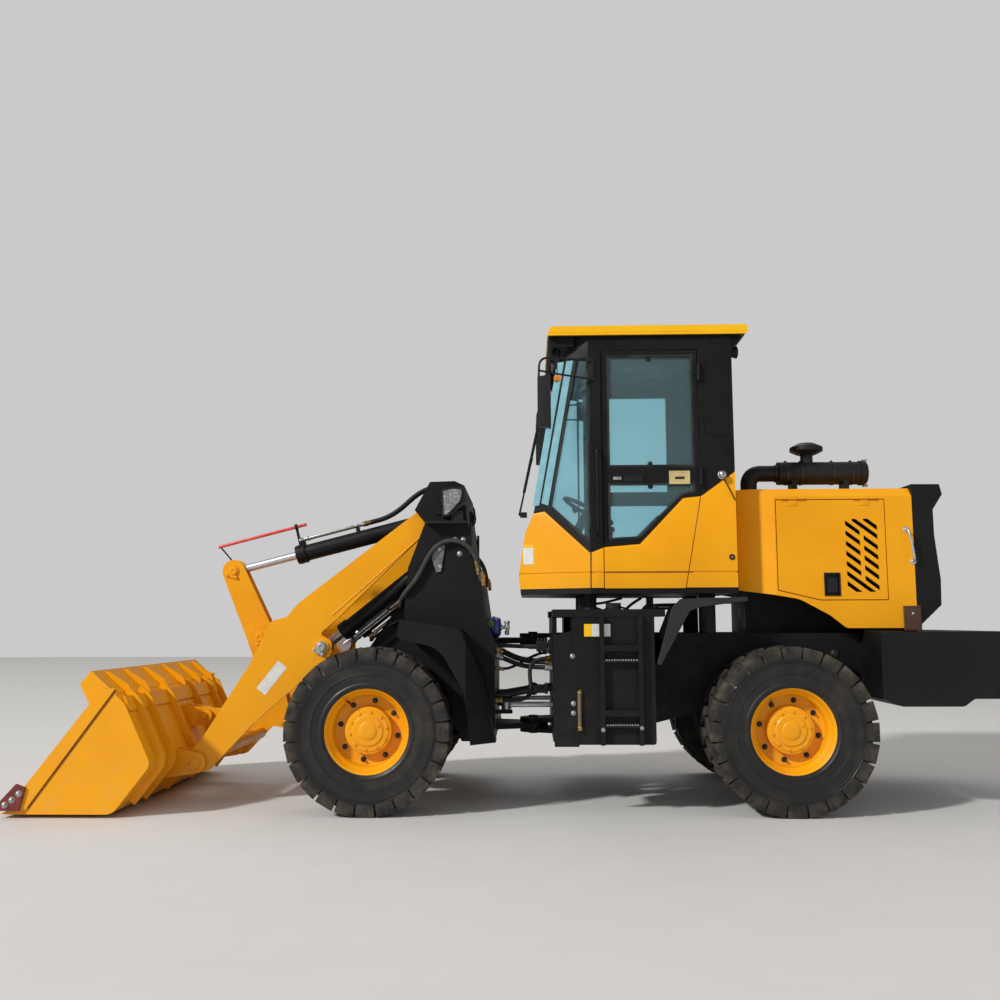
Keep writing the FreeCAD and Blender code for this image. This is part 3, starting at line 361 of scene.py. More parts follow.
def hose(name, route, radius):
    """Round hose on one smooth line through its route, with closed ends."""
    line = bpy.data.curves.new(name, "CURVE")
    line.dimensions = "3D"
    line.bevel_depth = radius / 1000
    line.bevel_resolution = 4
    line.use_fill_caps = True
    line.resolution_u = 10
    spline = line.splines.new("NURBS")
    spline.points.add(len(route) - 1)
    for point, place in zip(spline.points, route):
        point.co = tuple(at(*place)) + (1,)
    spline.order_u = 3
    spline.use_endpoint_u = True
    made = bpy.data.objects.new(name, line)
    bpy.context.scene.collection.objects.link(made)
    choose(made)
    bpy.ops.object.convert(target="MESH")
    return smooth(bpy.context.object, 60)


def crimp(name, end, way, radius):
    """Fitting on a hose's end: a grooved sleeve and a hexagon nut, on the line of the hose."""
    way = Vector(way).normalized()
    stops = ((-2, 1.1), (-2, 1.45), (8, 1.45), (9, 1.3), (12, 1.3), (13, 1.45), (30, 1.4), (32, 1.1))
    sleeve = turned(name, end, [(distance, radius * share) for distance, share in stops], way, 24)
    nut = rod(name, Vector(end) - way * 20, Vector(end), radius * 1.6, 6, 1.2)
    return joined(name, [sleeve, nut])


# Finishes


class Finish:
    """One material: a shader, and patterns that read the piece's own position. Colours are as seen, 0 to 255."""

    def __init__(self, name, rough=0.5, metal=0.0, **sockets):
        self.material = bpy.data.materials.new(name)
        self.material.use_nodes = True
        self.nodes = self.material.node_tree.nodes
        self.links = self.material.node_tree.links
        self.shader = self.nodes["Principled BSDF"]
        self.fill_in(self.shader, Roughness=rough, Metallic=metal, **sockets)
        self.place = self.nodes.new("ShaderNodeTexCoord").outputs["Object"]

    def fill_in(self, node, **sockets):
        for socket, value in sockets.items():
            node.inputs[socket.replace("_", " ")].default_value = value

    def node(self, kind, source, **sockets):
        """New node of a kind, its first socket fed by the source."""
        made = self.nodes.new("ShaderNode" + kind)
        self.fill_in(made, **sockets)
        self.links.new(source, made.inputs[0])
        return made

    def noise(self, scale, detail=4, stretch=None, rough=0.55):
        source = self.node("Mapping", self.place, Scale=stretch).outputs[0] if stretch else self.place
        return self.node("TexNoise", source, Scale=scale, Detail=detail, Roughness=rough).outputs["Fac"]

    def cells(self, scale):
        return self.node("TexVoronoi", self.place, Scale=scale).outputs["Distance"]

    def span(self, value, low, high, to_low=0.0, to_high=1.0):
        made = self.node("MapRange", value, From_Min=low, From_Max=high, To_Min=to_low, To_Max=to_high)
        return made.outputs["Result"]

    def combined(self, kind, a, b):
        made = self.node("Math", a)
        made.operation = kind
        self.links.new(b, made.inputs[1])
        return made.outputs[0]

    def times(self, a, b):
        return self.combined("MULTIPLY", a, b)

    def most(self, a, b):
        return self.combined("MAXIMUM", a, b)

    def height(self, low, high):
        """1 below low, 0 above high, in metres above the ground."""
        return self.span(self.node("SeparateXYZ", self.place).outputs["Z"], low, high, 1.0, 0.0)

    def blend(self, share, a, b):
        """Colour a, turning to b as the share rises; each is a colour or a socket."""
        made = self.nodes.new("ShaderNodeMix")
        made.data_type = "RGBA"
        self.links.new(share, made.inputs["Factor"])
        for socket, colour in ((made.inputs[6], a), (made.inputs[7], b)):
            if isinstance(colour, tuple):
                socket.default_value = tuple(linear(value / 255) for value in colour) + (1,)
            else:
                self.links.new(colour, socket)
        return made.outputs[2]

    def two_tone(self, body, shade, scale, detail, low=0.3):
        return self.blend(self.span(self.noise(scale, detail), low, 0.7), body, shade)

    def colour(self, source):
        self.links.new(source, self.shader.inputs["Base Color"])

    def roughness(self, source):
        self.links.new(source, self.shader.inputs["Roughness"])

    def worn(self, scale, detail, least, most):
        self.roughness(self.span(self.noise(scale, detail), 0.3, 0.8, least, most))

    def dusted(self, base, low, dust):
        """The base colour under a share of dust where the low pattern is strong."""
        self.colour(self.blend(self.span(low, 0, 1, 0, dust), base, DUST))

    def bump(self, source, depth, strength=1.0):
        made = self.nodes.new("ShaderNodeBump")
        self.fill_in(made, Distance=depth, Strength=strength)
        self.links.new(source, made.inputs["Height"])
        self.links.new(made.outputs["Normal"], self.shader.inputs["Normal"])


def linear(value):
    """A colour's share as seen, as the shader takes it."""
    return value / 12.92 if value <= 0.04045 else ((value + 0.055) / 1.055) ** 2.4


DUST = (176, 158, 128)


def enamel(name, body, shade, rough=0.3):
    """Gloss paint on steel: slow drift of colour, faint orange peel, dust low down."""
    made = Finish(name, rough, Coat_Weight=0.08, Coat_Roughness=0.15, Specular_IOR_Level=0.26)
    low = made.times(made.height(0.0, 0.9), made.span(made.noise(11, 8, rough=0.7), 0.42, 0.75))
    made.dusted(made.two_tone(body, shade, 1.7, 3, 0.35), low, 0.2)
    made.roughness(made.span(made.most(low, made.noise(4, 5)), 0.2, 1.0, rough * 0.8, rough * 2.2))
    made.bump(made.noise(420, 2), 0.0004, 0.25)
    return made.material


def satin(name, body, shade, rough=0.4):
    """Satin black paint on frames and castings, with road dust."""
    made = Finish(name, rough, Specular_IOR_Level=0.25)
    low = made.times(made.height(0.1, 0.9), made.span(made.noise(9, 9, rough=0.72), 0.4, 0.8))
    made.dusted(made.two_tone(body, shade, 2.5, 4, 0.35), low, 0.08)
    made.roughness(made.span(made.most(low, made.noise(6, 5)), 0.2, 1.0, rough * 0.75, 0.9))
    made.bump(made.noise(260, 3), 0.0005, 0.35)
    return made.material


def rubber(name, body, dusty, share, grain):
    made = Finish(name, 0.75, Specular_IOR_Level=0.25)
    dust = made.span(made.noise(7, 9, rough=0.75), 0.45, 0.72, 0, share)
    made.colour(made.blend(dust, made.two_tone(body, (58, 57, 55), 5, 4), dusty))
    made.worn(20, 4, 0.6, 0.92)
    made.bump(made.noise(grain, 6), 0.0015, 0.5)
    return made.material


def chrome():
    made = Finish("hard_chrome", 0.45, 1.0)
    made.colour(made.blend(made.noise(14, 4), (196, 198, 202), (226, 228, 232)))
    made.worn(60, 3, 0.4, 0.5)
    made.bump(made.noise(120, 2), 0.0001, 0.02)
    return made.material


def edge_steel():
    """Bare steel rubbed by earth, with rust in streaks."""
    made = Finish("worn_edge_steel", 0.45, 0.6)
    streak = made.span(made.noise(14, 8, (0.4, 1.0, 1.6), 0.7), 0.35, 0.7)
    made.colour(made.blend(streak, (92, 66, 58), (128, 98, 84)))
    made.roughness(made.span(made.noise(30, 6), 0.3, 0.75, 0.45 * 0.7, 0.8))
    made.bump(made.noise(80, 8, (0.3, 1, 1)), 0.0012, 0.5)
    return made.material


def plastic(name, body, shade, rough=0.5):
    made = Finish(name, rough, Specular_IOR_Level=0.4)
    made.colour(made.two_tone(body, shade, 4, 4))
    made.worn(35, 4, rough * 0.85, rough * 1.25)
    made.bump(made.noise(700, 3), 0.0003, 0.4)
    return made.material


def vinyl():
    made = Finish("grained_vinyl", 0.55, Sheen_Weight=0.1)
    made.colour(made.two_tone((38, 38, 42), (54, 54, 58), 9, 4))
    made.worn(26, 3, 0.45, 0.7)
    made.bump(made.cells(420), 0.0008, 0.6)
    return made.material


def tinted_glass():
    made = Finish("tinted_glass", 0.04, IOR=1.45, Transmission_Weight=0.94, Specular_IOR_Level=0.6)
    made.colour(made.two_tone((198, 238, 246), (206, 242, 250), 1.4, 2))
    made.bump(made.noise(1.2, 0), 0.0005, 0.02)
    return made.material


def worn_enamel():
    """Yellow paint rubbed off in streaks down to the steel."""
    made = Finish("worn_yellow_enamel", 0.42, Specular_IOR_Level=0.35)
    bare = made.span(made.noise(7, 9, (0.5, 1.4, 3.0), 0.7), 0.5, 0.62)
    made.colour(made.blend(bare, (226, 152, 16), (118, 96, 78)))
    made.roughness(made.span(bare, 0, 1, 0.4, 0.6))
    made.bump(bare, -0.0006, 0.4)
    return made.material


def tread_rubber(name, axle_x):
    """Tyre rubber: glossy dark sidewall with fine rings, dull tread with dry tan dust in its grooves."""
    made = Finish(name, 0.5, Specular_IOR_Level=0.45)
    centred = made.node("Mapping", made.place, Location=(-axle_x, 0, -TYRE_R / 1000)).outputs["Vector"]
    flat = made.node("VectorMath", centred)
    flat.operation = "MULTIPLY"
    flat.inputs[1].default_value = (1, 0, 1)
    length = made.node("VectorMath", flat.outputs["Vector"])
    length.operation = "LENGTH"
    out = length.outputs["Value"]
    outer = made.span(out, 0.455, 0.53)
    dust = made.span(made.noise(9, 9, rough=0.75), 0.42, 0.68)
    share = made.span(made.times(outer, dust), 0, 1, 0, 0.3)
    film = made.span(made.noise(3.5, 6, rough=0.7), 0.5, 0.8, 0, 0.12)
    base = made.two_tone((22, 22, 23), (32, 31, 30), 5, 4)
    made.colour(made.blend(made.most(share, film), base, (150, 132, 106)))
    made.roughness(made.span(made.most(outer, made.noise(8, 4)), 0.3, 1.0, 0.34, 0.85))
    rings = made.node("TexWave", centred, Scale=28, Distortion=0.4)
    rings.wave_type = "RINGS"
    rings.rings_direction = "Y"
    sidewall = made.times(rings.outputs["Fac"], made.span(out, 0.33, 0.3))
    made.bump(made.most(sidewall, made.noise(55, 5)), 0.0012, 0.35)
    return made.material


def plain_metal(name, body, shade, rough, metal=1.0):
    made = Finish(name, rough, metal)
    made.colour(made.two_tone(body, shade, 25, 5, 0.35))
    made.worn(70, 4, rough * 0.8, rough * 1.35)
    made.bump(made.noise(300, 3), 0.0003, 0.3)
    return made.material


def painted(name, body, shade, rough=0.4):
    made = Finish(name, rough, Coat_Weight=0.2)
    made.colour(made.two_tone(body, shade, 18, 6, 0.4))
    made.worn(40, 4, rough * 0.8, rough * 1.4)
    made.bump(made.noise(380, 2), 0.0003, 0.25)
    return made.material


def reflector():
    made = Finish("lamp_reflector", 0.16, 0.85)
    ribs = made.cells(46)
    made.colour(made.blend(made.span(ribs, 0.1, 0.6), (214, 216, 218), (150, 150, 152)))
    made.worn(30, 3, 0.1, 0.26)
    made.bump(ribs, 0.004, 0.7)
    return made.material


def clear_glass():
    made = Finish("clear_glass", 0.03, IOR=1.45, Transmission_Weight=0.95)
    made.colour(made.blend(made.noise(3, 2), (236, 240, 240), (246, 248, 248)))
    made.bump(made.noise(4, 1), 0.0005, 0.05)
    return made.material


YELLOW = enamel("yellow_enamel", (242, 166, 6), (234, 156, 4))
ROOF_YELLOW = enamel("roof_yellow", (246, 188, 14), (242, 180, 10), 0.35)
WORN_YELLOW = worn_enamel()
BLACK = satin("black_enamel", (15, 15, 16), (22, 22, 23))
CHROME = chrome()
EDGE_STEEL = edge_steel()
ZINC = plain_metal("zinc_plate", (176, 178, 178), (206, 208, 206), 0.46)
DARK_STEEL = plain_metal("dark_steel", (52, 48, 46), (84, 74, 68), 0.42, 0.8)
SHAFT_STEEL = plain_metal("shaft_steel", (60, 60, 62), (84, 84, 84), 0.4, 0.8)
WORN_GREY = plain_metal("worn_grey", (150, 148, 144), (182, 180, 174), 0.5, 0.6)
BRASS = plain_metal("brass_fitting", (172, 140, 84), (196, 170, 116), 0.3)
TYRE = rubber("tyre_rubber", (44, 44, 45), (140, 126, 104), 0.45, 90)
MOUNT_RUBBER = rubber("mount_rubber", (30, 30, 31), (60, 58, 55), 0.2, 200)
HOSE = rubber("hose_rubber", (26, 26, 27), (88, 82, 74), 0.22, 300)
WRAPPED_HOSE = rubber("spiral_guard", (58, 58, 58), (116, 112, 104), 0.3, 160)
SEAL = rubber("window_seal", (16, 16, 17), (40, 38, 36), 0.12, 300)
TYRE_OF_AXLE = {"front": tread_rubber("front_tyre_rubber", FRONT_AXLE_X),
                "rear": tread_rubber("rear_tyre_rubber", WHEELBASE / 1000 + FRONT_AXLE_X)}
PLASTIC = plastic("black_moulding", (17, 17, 18), (26, 26, 27))
LAMP_MOULDING = plastic("lamp_moulding", (34, 34, 36), (46, 46, 48), 0.4)
VINYL = vinyl()
GLASS = tinted_glass()
CLEAR_GLASS = clear_glass()
REFLECTOR = reflector()
GREY_CAST = painted("grey_clamp", (92, 94, 92), (120, 122, 118), 0.45)
BLUE = painted("blue_enamel", (22, 28, 92), (34, 42, 112), 0.3)
GREEN = painted("green_enamel", (58, 96, 34), (78, 116, 46))
RED_BAR = painted("red_enamel", (214, 50, 44), (228, 86, 72), 0.42)
DARK_RED = painted("dark_red_enamel", (104, 30, 26), (128, 44, 36), 0.45)
PLATE_WHITE = painted("blank_plate", (222, 222, 216), (204, 204, 198))
LOCK_GOLD = painted("pale_gold_plate", (206, 186, 132), (188, 166, 108), 0.35)
# Pale blue-grey paint for the wrap-around glass over the front posts: the glass is real, its lightness is a painted
# reflection.
PAINTED_GLASS_REFLECTION = painted("painted_reflection_over_post", (122, 172, 182), (134, 184, 194), 0.15)
# Dark orange-brown paint for the shadow in grooves: along the bucket's cheeks and in the door's groove.
PAINTED_SEAM_SHADOW = painted("painted_seam_shadow", (150, 92, 12), (128, 78, 14), 0.6)
# Dark brown paint that stands for the shade inside the openings at the hood's lower rear corners.
OPENING_SHADE_PAINT = painted("painted_opening_shade", (74, 46, 30), (92, 60, 40), 0.5)
AMBER_GLASS = painted("gauge_glass", (112, 84, 60), (134, 104, 78), 0.2)
AMBER = painted("amber_lens", (226, 120, 20), (238, 146, 40), 0.15)
TAIL_RED = painted("red_lens", (176, 20, 18), (200, 40, 32), 0.15)

FINISH_OF_SLOT = {
    "yellow_paint": YELLOW, "black_paint": BLACK, "red_paint": RED_BAR, "dark_red_steel": DARK_RED,
    "worn_steel": EDGE_STEEL, "chrome_rod": CHROME, "shaft_steel": SHAFT_STEEL, "tyre_rubber": TYRE,
    "mount_rubber": MOUNT_RUBBER, "hose_rubber": HOSE, "tinted_glass": GLASS, "black_plastic": PLASTIC,
    "lamp_moulding": LAMP_MOULDING, "seat_vinyl": VINYL,
}


def coat(made, material):
    made.data.materials.clear()
    made.data.materials.append(material)


def coat_frame():
    for part in frame["record"]["subparts"]:
        coat(NODES[part["node"]], FINISH_OF_SLOT[part["material_slot"]])
    coat(NODES["cab_roof"], ROOF_YELLOW)
    coat(NODES["cutting_edge"], WORN_YELLOW)


def add(made, body, material, instead_of=None):
    """Gives a new piece its finish and the body that it rides on."""
    coat(made, material)
    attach(made, body)
    if instead_of:
        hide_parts(instead_of)
    return made


def yellow(made, body, instead_of=None):
    return add(made, body, YELLOW, instead_of)


def black(made, body):
    return add(made, body, BLACK)


coat_frame()


# Wheels, modelled once at the front left and copied


WHEEL_Y = -TRACK / 2
LUGS = 24


def casing():
    """Tyre body with its bead, the raised rings of the sidewall and a crowned top."""
    outer = [(150, 271), (168, 272), (180, 280), (184, 292), (190, 300), (189, 312), (185, 318), (187, 340),
             (191, 366), (195, 369), (195, 375), (193, 380), (197, 420), (198, 438), (202, 441), (202, 446),
             (198, 449), (198, 454), (201, 457), (200, 463), (196, 467), (190, 488), (178, 508), (150, 519), (80, 523)]
    inner = [(-distance, radius) for distance, radius in outer[::-1]]
    made = turned("tyre_casing", (0, WHEEL_Y, TYRE_R), outer + inner, sides=96, ring=True)
    return smooth(made, 32)


def tread_bar():
    """One lug: a slanted bar on the tread that widens to the shoulder and runs down the sidewall."""
    low, top = TYRE_R + 512, TYRE_R + 543
    shoulder = WHEEL_Y - 150
    made = block("tread_bar", (-62, 62), (WHEEL_Y - 205, WHEEL_Y - 10), (low, top), 0)
    pick(made, lambda p, n: n.y > 0.9)
    bpy.ops.transform.translate(value=(0.052, 0, 0.002))
    bpy.ops.transform.resize(value=(0.46, 1, 1), center_override=at(52, WHEEL_Y - 10, low))
    done()
    edit(made)
    bpy.ops.mesh.bisect(plane_co=at(0, shoulder, 0), plane_no=(0, 1, 0))
    done()
    pick(made, lambda p, n: n.z < -0.9 and p.y < shoulder)
    draw_out((0, 0, -24))
    bpy.ops.transform.resize(value=(0.96, 1, 1), center_override=at(0, WHEEL_Y - 185, TYRE_R + 488))
    draw_out((0, 3, -26))
    bpy.ops.transform.resize(value=(0.9, 1, 1), center_override=at(0, WHEEL_Y - 190, TYRE_R + 462))
    done()
    pick(made, lambda p, n: n.z > 0.9 and p.y < shoulder)
    bpy.ops.mesh.inset(thickness=0.004)
    bpy.ops.transform.translate(value=(0, 0, 0.0012))
    done()
    return smooth(ease(made, 5), 35)


def tyre():
    near = tread_bar()
    far = moved_by(mirrored(near, "tread_bar_far"), Matrix.Translation((0, 2 * WHEEL_Y / 1000, 0)))
    middle, way = (0, WHEEL_Y, TYRE_R), (0, 1, 0)
    near = round_axis(near, "tread_near", middle, way, LUGS)
    far = round_axis(far, "tread_far", middle, way, LUGS, 180 / LUGS)
    return joined("tyre", [casing(), near, far])


def rim():
    """Rolled rim with its sloped lip, dished disc, nuts on studs and the hub's bolted cap."""
    middle = (0, WHEEL_Y, TYRE_R)
    section = [(176, 286), (178, 283), (178, 278), (172, 271), (164, 267), (161, 264), (152, 262), (126, 243),
               (122, 239), (112, 235), (60, 232), (50, 226), (46, 216), (45, 150), (28, 150), (28, 222), (20, 238),
               (-150, 256), (-170, 268), (-178, 279), (-178, 287), (-171, 287), (-166, 271), (166, 271), (171, 286)]
    dish = smooth(turned("rim_dish", middle, section, sides=96, ring=True), 25)
    cap = [(-45, 62), (-45, 148), (45, 150), (50, 157), (94, 156), (101, 152), (104, 144), (104, 139), (107, 137),
           (110, 134), (111, 106), (115, 101), (119, 96), (120, 62), (124, 58), (127, 50), (129, 30), (129, 12),
           (129, 0)]
    hub = smooth(turned("hub_cap", middle, cap, sides=72), 25)
    heads = bolt("cap_bolts", (0, WHEEL_Y - 110, TYRE_R + 122), (0, -1, 0), 9, 9)
    heads = round_axis(heads, "cap_bolts", middle, (0, 1, 0), 10, 8)
    plug = bolt("oil_plug", (70, WHEEL_Y - 119, TYRE_R + 34), (0, -1, 0), 9, 7)
    return joined("rim", [dish, hub, heads, plug])


def wheel_nuts():
    """Nuts on their studs, in the disc's dished ring, and the tyre's valve."""
    middle = (0, WHEEL_Y, TYRE_R)
    nut = bolt("wheel_nuts", (0, WHEEL_Y - 45, TYRE_R + 196), (0, -1, 0), 14, 14)
    stud = rod("stud", (0, WHEEL_Y - 60, TYRE_R + 196), (0, WHEEL_Y - 74, TYRE_R + 196), 8, 16, 1.5)
    nuts = round_axis(joined("wheel_nuts", [nut, stud]), "wheel_nuts", middle, (0, 1, 0), 8, 11)
    valve = rod("valve", (-130, WHEEL_Y - 140, TYRE_R + 190), (-142, WHEEL_Y - 168, TYRE_R + 206), 5, 12, 1)
    foot = rod("valve", (-118, WHEEL_Y - 120, TYRE_R + 174), (-131, WHEEL_Y - 142, TYRE_R + 191), 4, 12, 1)
    hold = rod("valve", (-128, WHEEL_Y - 104, TYRE_R + 190), (-118, WHEEL_Y - 121, TYRE_R + 175), 4, 12, 1)
    return joined("wheel_nuts", [nuts, valve, foot, hold])


def wheels():
    for kind, made in (("tyre", tyre()), ("rim", rim()), ("nuts", wheel_nuts())):
        made.name = "wheel_%s_front_left" % kind
        for axle, hand, x, way in WHEELS[1:]:
            name = "wheel_%s_%s_%s" % (kind, axle, hand)
            copy = mirrored(made, name) if way > 0 else twin(made, name)
            moved_by(copy, Matrix.Translation((x / 1000, 0, 0)))
            dress_wheel(copy, kind, axle, hand)
        dress_wheel(made, kind, "front", "left")


def dress_wheel(made, kind, axle, hand):
    body = "wheel_%s_%s" % (axle, hand)
    if kind == "tyre":
        add(made, body, TYRE_OF_AXLE[axle], "tyre_%s_%s" % (axle, hand))
    elif kind == "rim":
        yellow(made, body, "rim_%s_%s" % (axle, hand))
    else:
        add(made, body, DARK_STEEL)


wheels()


# Bucket


GUARD_FIN_PLACES = (-879.9, -560.7, -199.5, 189.5, 550.7, 869.9)


def bucket_trim():
    beam_line = [(-1552, 686), (-1594, 780), (-1608, 775), (-1574, 690)]
    yellow(cut_plate("bucket_beam", beam_line, -1028, 2056, 2), "bucket")
    line = [(-1603, 774), (-1655, 802), (-1802, 934), (-1776, 936), (-1630, 845), (-1602, 796)]
    fins = [cut_plate("guard_fin", line, y - 1, 12, 1) for y in GUARD_FIN_PLACES]
    yellow(joined("guard_fins", fins), "bucket")
    # A thin dark plate along each cheek of the bucket that paints the shadow of the groove there.
    seam = cut_plate("cheek_shadow_strip", [(-2200, 67), (-1652, 826), (-1641, 818), (-2189, 59)], -BUCKET_HALF + 0.5, -2, 0.5)
    add(pair_of("cheek_shadow_strips", seam), "bucket", PAINTED_SEAM_SHADOW)
    heads = []
    for hand in (-1, 1):
        y = hand * (BUCKET_HALF + CUTTER_DEPTH)
        places = [(-2335, y, 90), (-2290, y, 120), (-2246, y, 160)]
        heads.append(domes("cutter_bolts", places, (0, hand, 0), 17, 16))
    add(joined("cutter_bolts", heads), "bucket", ZINC)


def level_bar():
    """Red bar that shows the bucket's level, and the dark stem that holds it on the tilt rod's eye."""
    along = Vector((1610, 0, 410)).normalized()
    start = Vector((-1308, 0, 1839))
    rail = rod("level_rail", start - along * 10, start + along * 690, 12, 24, 2)
    add(smooth(rail, 40), "tilt_rod", RED_BAR)
    stem = rod("level_stem", start + along * 4, (-1172, 0, 1690), 6, 16, 1)
    add(smooth(stem, 40), "tilt_rod", BLACK)
    for made in (rail, stem):
        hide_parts("level_indicator")


def pin_keepers(name, x, z, face, hand, body, turn=0, size=1.0, material=None):
    """Pin's end with its keeper bar and two bolts, on the outer face of the lug that holds it."""
    way = (0, hand, 0)
    y = hand * face
    stops = [(-1, 40 * size), (5, 40 * size), (8, 37 * size), (8, 29 * size), (16, 29 * size), (18, 26 * size),
             (18, 12 * size), (14, 10 * size), (14, 4 * size), (14, 0)]
    head = smooth(turned(name, (x, y, z), stops, way, 36), 30)
    bar = block(name, (x - 46 * size, x + 46 * size), (y + hand, y + hand * 12), (z - 52 * size, z - 30 * size))
    heads = bolts(name, [(x + off * size, y + hand * 11, z - 41 * size) for off in (-33, 33)], way, 9 * size, 8)
    made = swung(joined(name, [head, bar, heads]), (x, y, z), (0, 1, 0), turn)
    return add(smooth(made, 35), body, material or YELLOW)


def boom_trim():
    for hand, side_name in SIDES:
        pin_keepers("bucket_pin_end_" + side_name, -1270, 285, ARM_OUT + 33, hand, "bucket", 30)
        pin_keepers("crank_pin_end_" + side_name, -955, 1147, 96, hand, "boom", -25)
        pin_keepers("crank_top_end_" + side_name, -1180, 1650, 58, hand, "bell_crank", 15)
        pin_keepers("link_pin_end_" + side_name, -1370, 565, 70, hand, "bucket", 20, 0.8)
        pin_keepers("lift_eye_end_" + side_name, -400, 1086, ARM_OUT + 15, hand, "boom", 28, 1.0, ZINC)
        y = hand * (ARM_OUT + 1)
        weld = rod("arm_seam_" + side_name, (-224, y, 1402), (320, y, 1884), 3.5, 12)
        upper = rod("arm_seam", (-330, y, 1310), (-224, y, 1402), 3.5, 12)
        yellow(smooth(joined("arm_seam_" + side_name, [weld, upper]), 60), "boom")
        face = ARM_OUT + 1.5
        centre, lean, height = (-766, y, 879), 38, (757, 1001)
        add(swung(block("boom_plate_" + side_name, (-822, -710), (hand * ARM_OUT, hand * face), height, 0.6, 1),
                  centre, (0, 1, 0), lean), "boom", PLATE_WHITE)
        depth = (hand * (face - 0.2), hand * (face + 0.4))
        yellow(swung(block("boom_plate_band_" + side_name, (-822, -792), depth, height, 0.2, 1), centre, (0, 1, 0),
                     lean), "boom")


bucket_trim()
level_bar()
boom_trim()


# Rams: collars, pipes and gland rings, placed along the line between two pins


LIFT_BASE, LIFT_EYE, LIFT_Y = (440, 1757), (-400, 1086), 385
TILT_BASE, TILT_EYE = (430, 2060), (-1180, 1650)


def ram_way(base, eye):
    return Vector((eye[0] - base[0], 0, eye[1] - base[1])).normalized()


def on_line(base, eye, y, distance, off=0.0):
    """Place on a ram's line at a distance from its base pin, moved off the line, upward positive."""
    way = ram_way(base, eye)
    place = Vector((base[0], 0, base[1])) + way * distance + Vector((0, 1, 0)).cross(way) * off
    return Vector((place.x, y, place.z))


def ram_collar(name, base, eye, y, barrel_r, gland_x, body):
    """Gland ring at the open end of a barrel."""
    stops = ((-78, 1), (-76, 10), (-60, 12), (-58, 9.5), (-40, 9.5), (-38, 12), (-14, 12), (-11, 9), (1, 7), (1, -12),
             (6, -15), (6, -24))
    stops = [(gland_x + along, barrel_r + out) for along, out in stops]
    black(smooth(turned(name, on_line(base, eye, y, 0), stops, ram_way(base, eye), 56), 25), body)


def oil_pipe(name, base, eye, y, body, off, aside, start, end, radius, material):
    """Bright tube beside a barrel, with a nut at each end and two clamps."""
    a, b = on_line(base, eye, y + aside, start, off), on_line(base, eye, y + aside, end, off)
    way = (b - a).normalized()
    tube = rod(name, a - way * 4, b + way * 4, radius + 1.5, 24, 1)
    nuts = [rod(name, p - way * 14, p + way * 14, radius + 7, 6, 1.5) for p in (a + way * 16, b - way * 16)]
    clamps = [rod(name, p - way * 11, p + way * 11, radius + 5, 20, 2) for p in (a + way * 70, b - way * 60)]
    add(smooth(joined(name, [tube] + nuts + clamps), 35), body, material)


def ram_trim():
    for hand, side_name in SIDES:
        y = hand * LIFT_Y
        body = "lift_barrel_" + side_name
        ram_collar("lift_collar_" + side_name, LIFT_BASE, LIFT_EYE, y, 55, 920, body)
        pipes = ((-78, 0, 380, 880, 12, ZINC), (-104, hand * 22, 480, 900, 8, DARK_STEEL))
        for number, pipe in enumerate(pipes):
            oil_pipe("lift_pipe_%d_%s" % (number, side_name), LIFT_BASE, LIFT_EYE, y, body, *pipe)
    ram_collar("tilt_collar", TILT_BASE, TILT_EYE, 0, 62, 1170, "tilt_barrel")
    for number, aside in enumerate((-30, 30)):
        oil_pipe("tilt_pipe_%d" % number, TILT_BASE, TILT_EYE, 0, "tilt_barrel", 105, aside, 600, 1120, 9, ZINC)


ram_trim()


# Hoses


def hose_coat(made, material=HOSE):
    """Gives a hose its finish."""
    coat(made, material)


def hoses():
    for hand, side_name in SIDES:
        route = [(138, 407, 1382), (160, 440, 1400), (162, 500, 1408), (172, 560, 1425), (205, 598, 1470),
                 (270, 603, 1545), (316, 603, 1625), (352, 603, 1700), (396, 603, 1768), (452, 603, 1815),
                 (520, 603, 1834), (590, 603, 1824), (650, 603, 1785), (694, 603, 1725), (720, 603, 1650),
                 (738, 603, 1545)]
        route = [(x, hand * y, z) for x, y, z in route]
        made = hose("lift_hose_" + side_name + "_loop", route, 17)
        hose_coat(made, WRAPPED_HOSE)
        a, way = Vector(route[0]), Vector(route[1]) - Vector(route[0])
        add(crimp("lift_hose_nut_" + side_name, a + way.normalized() * 8, way, 14), "lift_barrel_" + side_name, BRASS)
        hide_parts("lift_hose_" + side_name)
        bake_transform(made)
        fittings = []
        for x, z in ((742, 1585), (706, 1660)):
            low = Vector((x, hand * 603, z))
            fittings.append(rod("fitting", low, low + Vector((6, 0, -46)), 19, 6, 2))
            fittings.append(rod("fitting", low + Vector((8, 0, -46)), low + Vector((12, 0, -72)), 14, 20, 2))
            fittings.append(rod("fitting", low + Vector((-4, 0, 24)), low, 16, 20, 2))
        add(smooth(joined("hose_fittings_" + side_name, fittings), 35), FRONT, BRASS)
        clamp_line = [(386, 1700), (398, 1762), (448, 1806), (480, 1800), (470, 1722), (452, 1612), (420, 1606)]
        low = min(hand * 577, hand * 590)
        add(cut_plate("hose_clamp_" + side_name, clamp_line, low, 13, 3), FRONT, GREY_CAST)
        add(bolts("clamp_bolts_" + side_name, [(448, hand * 590, 1650), (440, hand * 590, 1770)], (0, hand, 0), 10),
            FRONT, ZINC)
    for number, y in enumerate((-30, 30)):
        route = [(-176.5, y, 2014), (-110, y, 2031), (-40, y, 2050), (30, y, 2084), (95, y, 2130), (150, y, 2180),
                 (205, y, 2228), (270, y, 2268), (340, y, 2290), (420, y, 2291), (520.9, y, 2267.8)]
        made = hose("tilt_hose_%d" % number, route, 15)
        hose_coat(made)
        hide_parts("tilt_hoses")
        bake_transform(made)
        add(crimp("tilt_hose_nut_%d" % number, (-166, y, 2016.6), (0.97, 0, 0.25), 11), "tilt_barrel", BRASS)


GAP_X = 1000


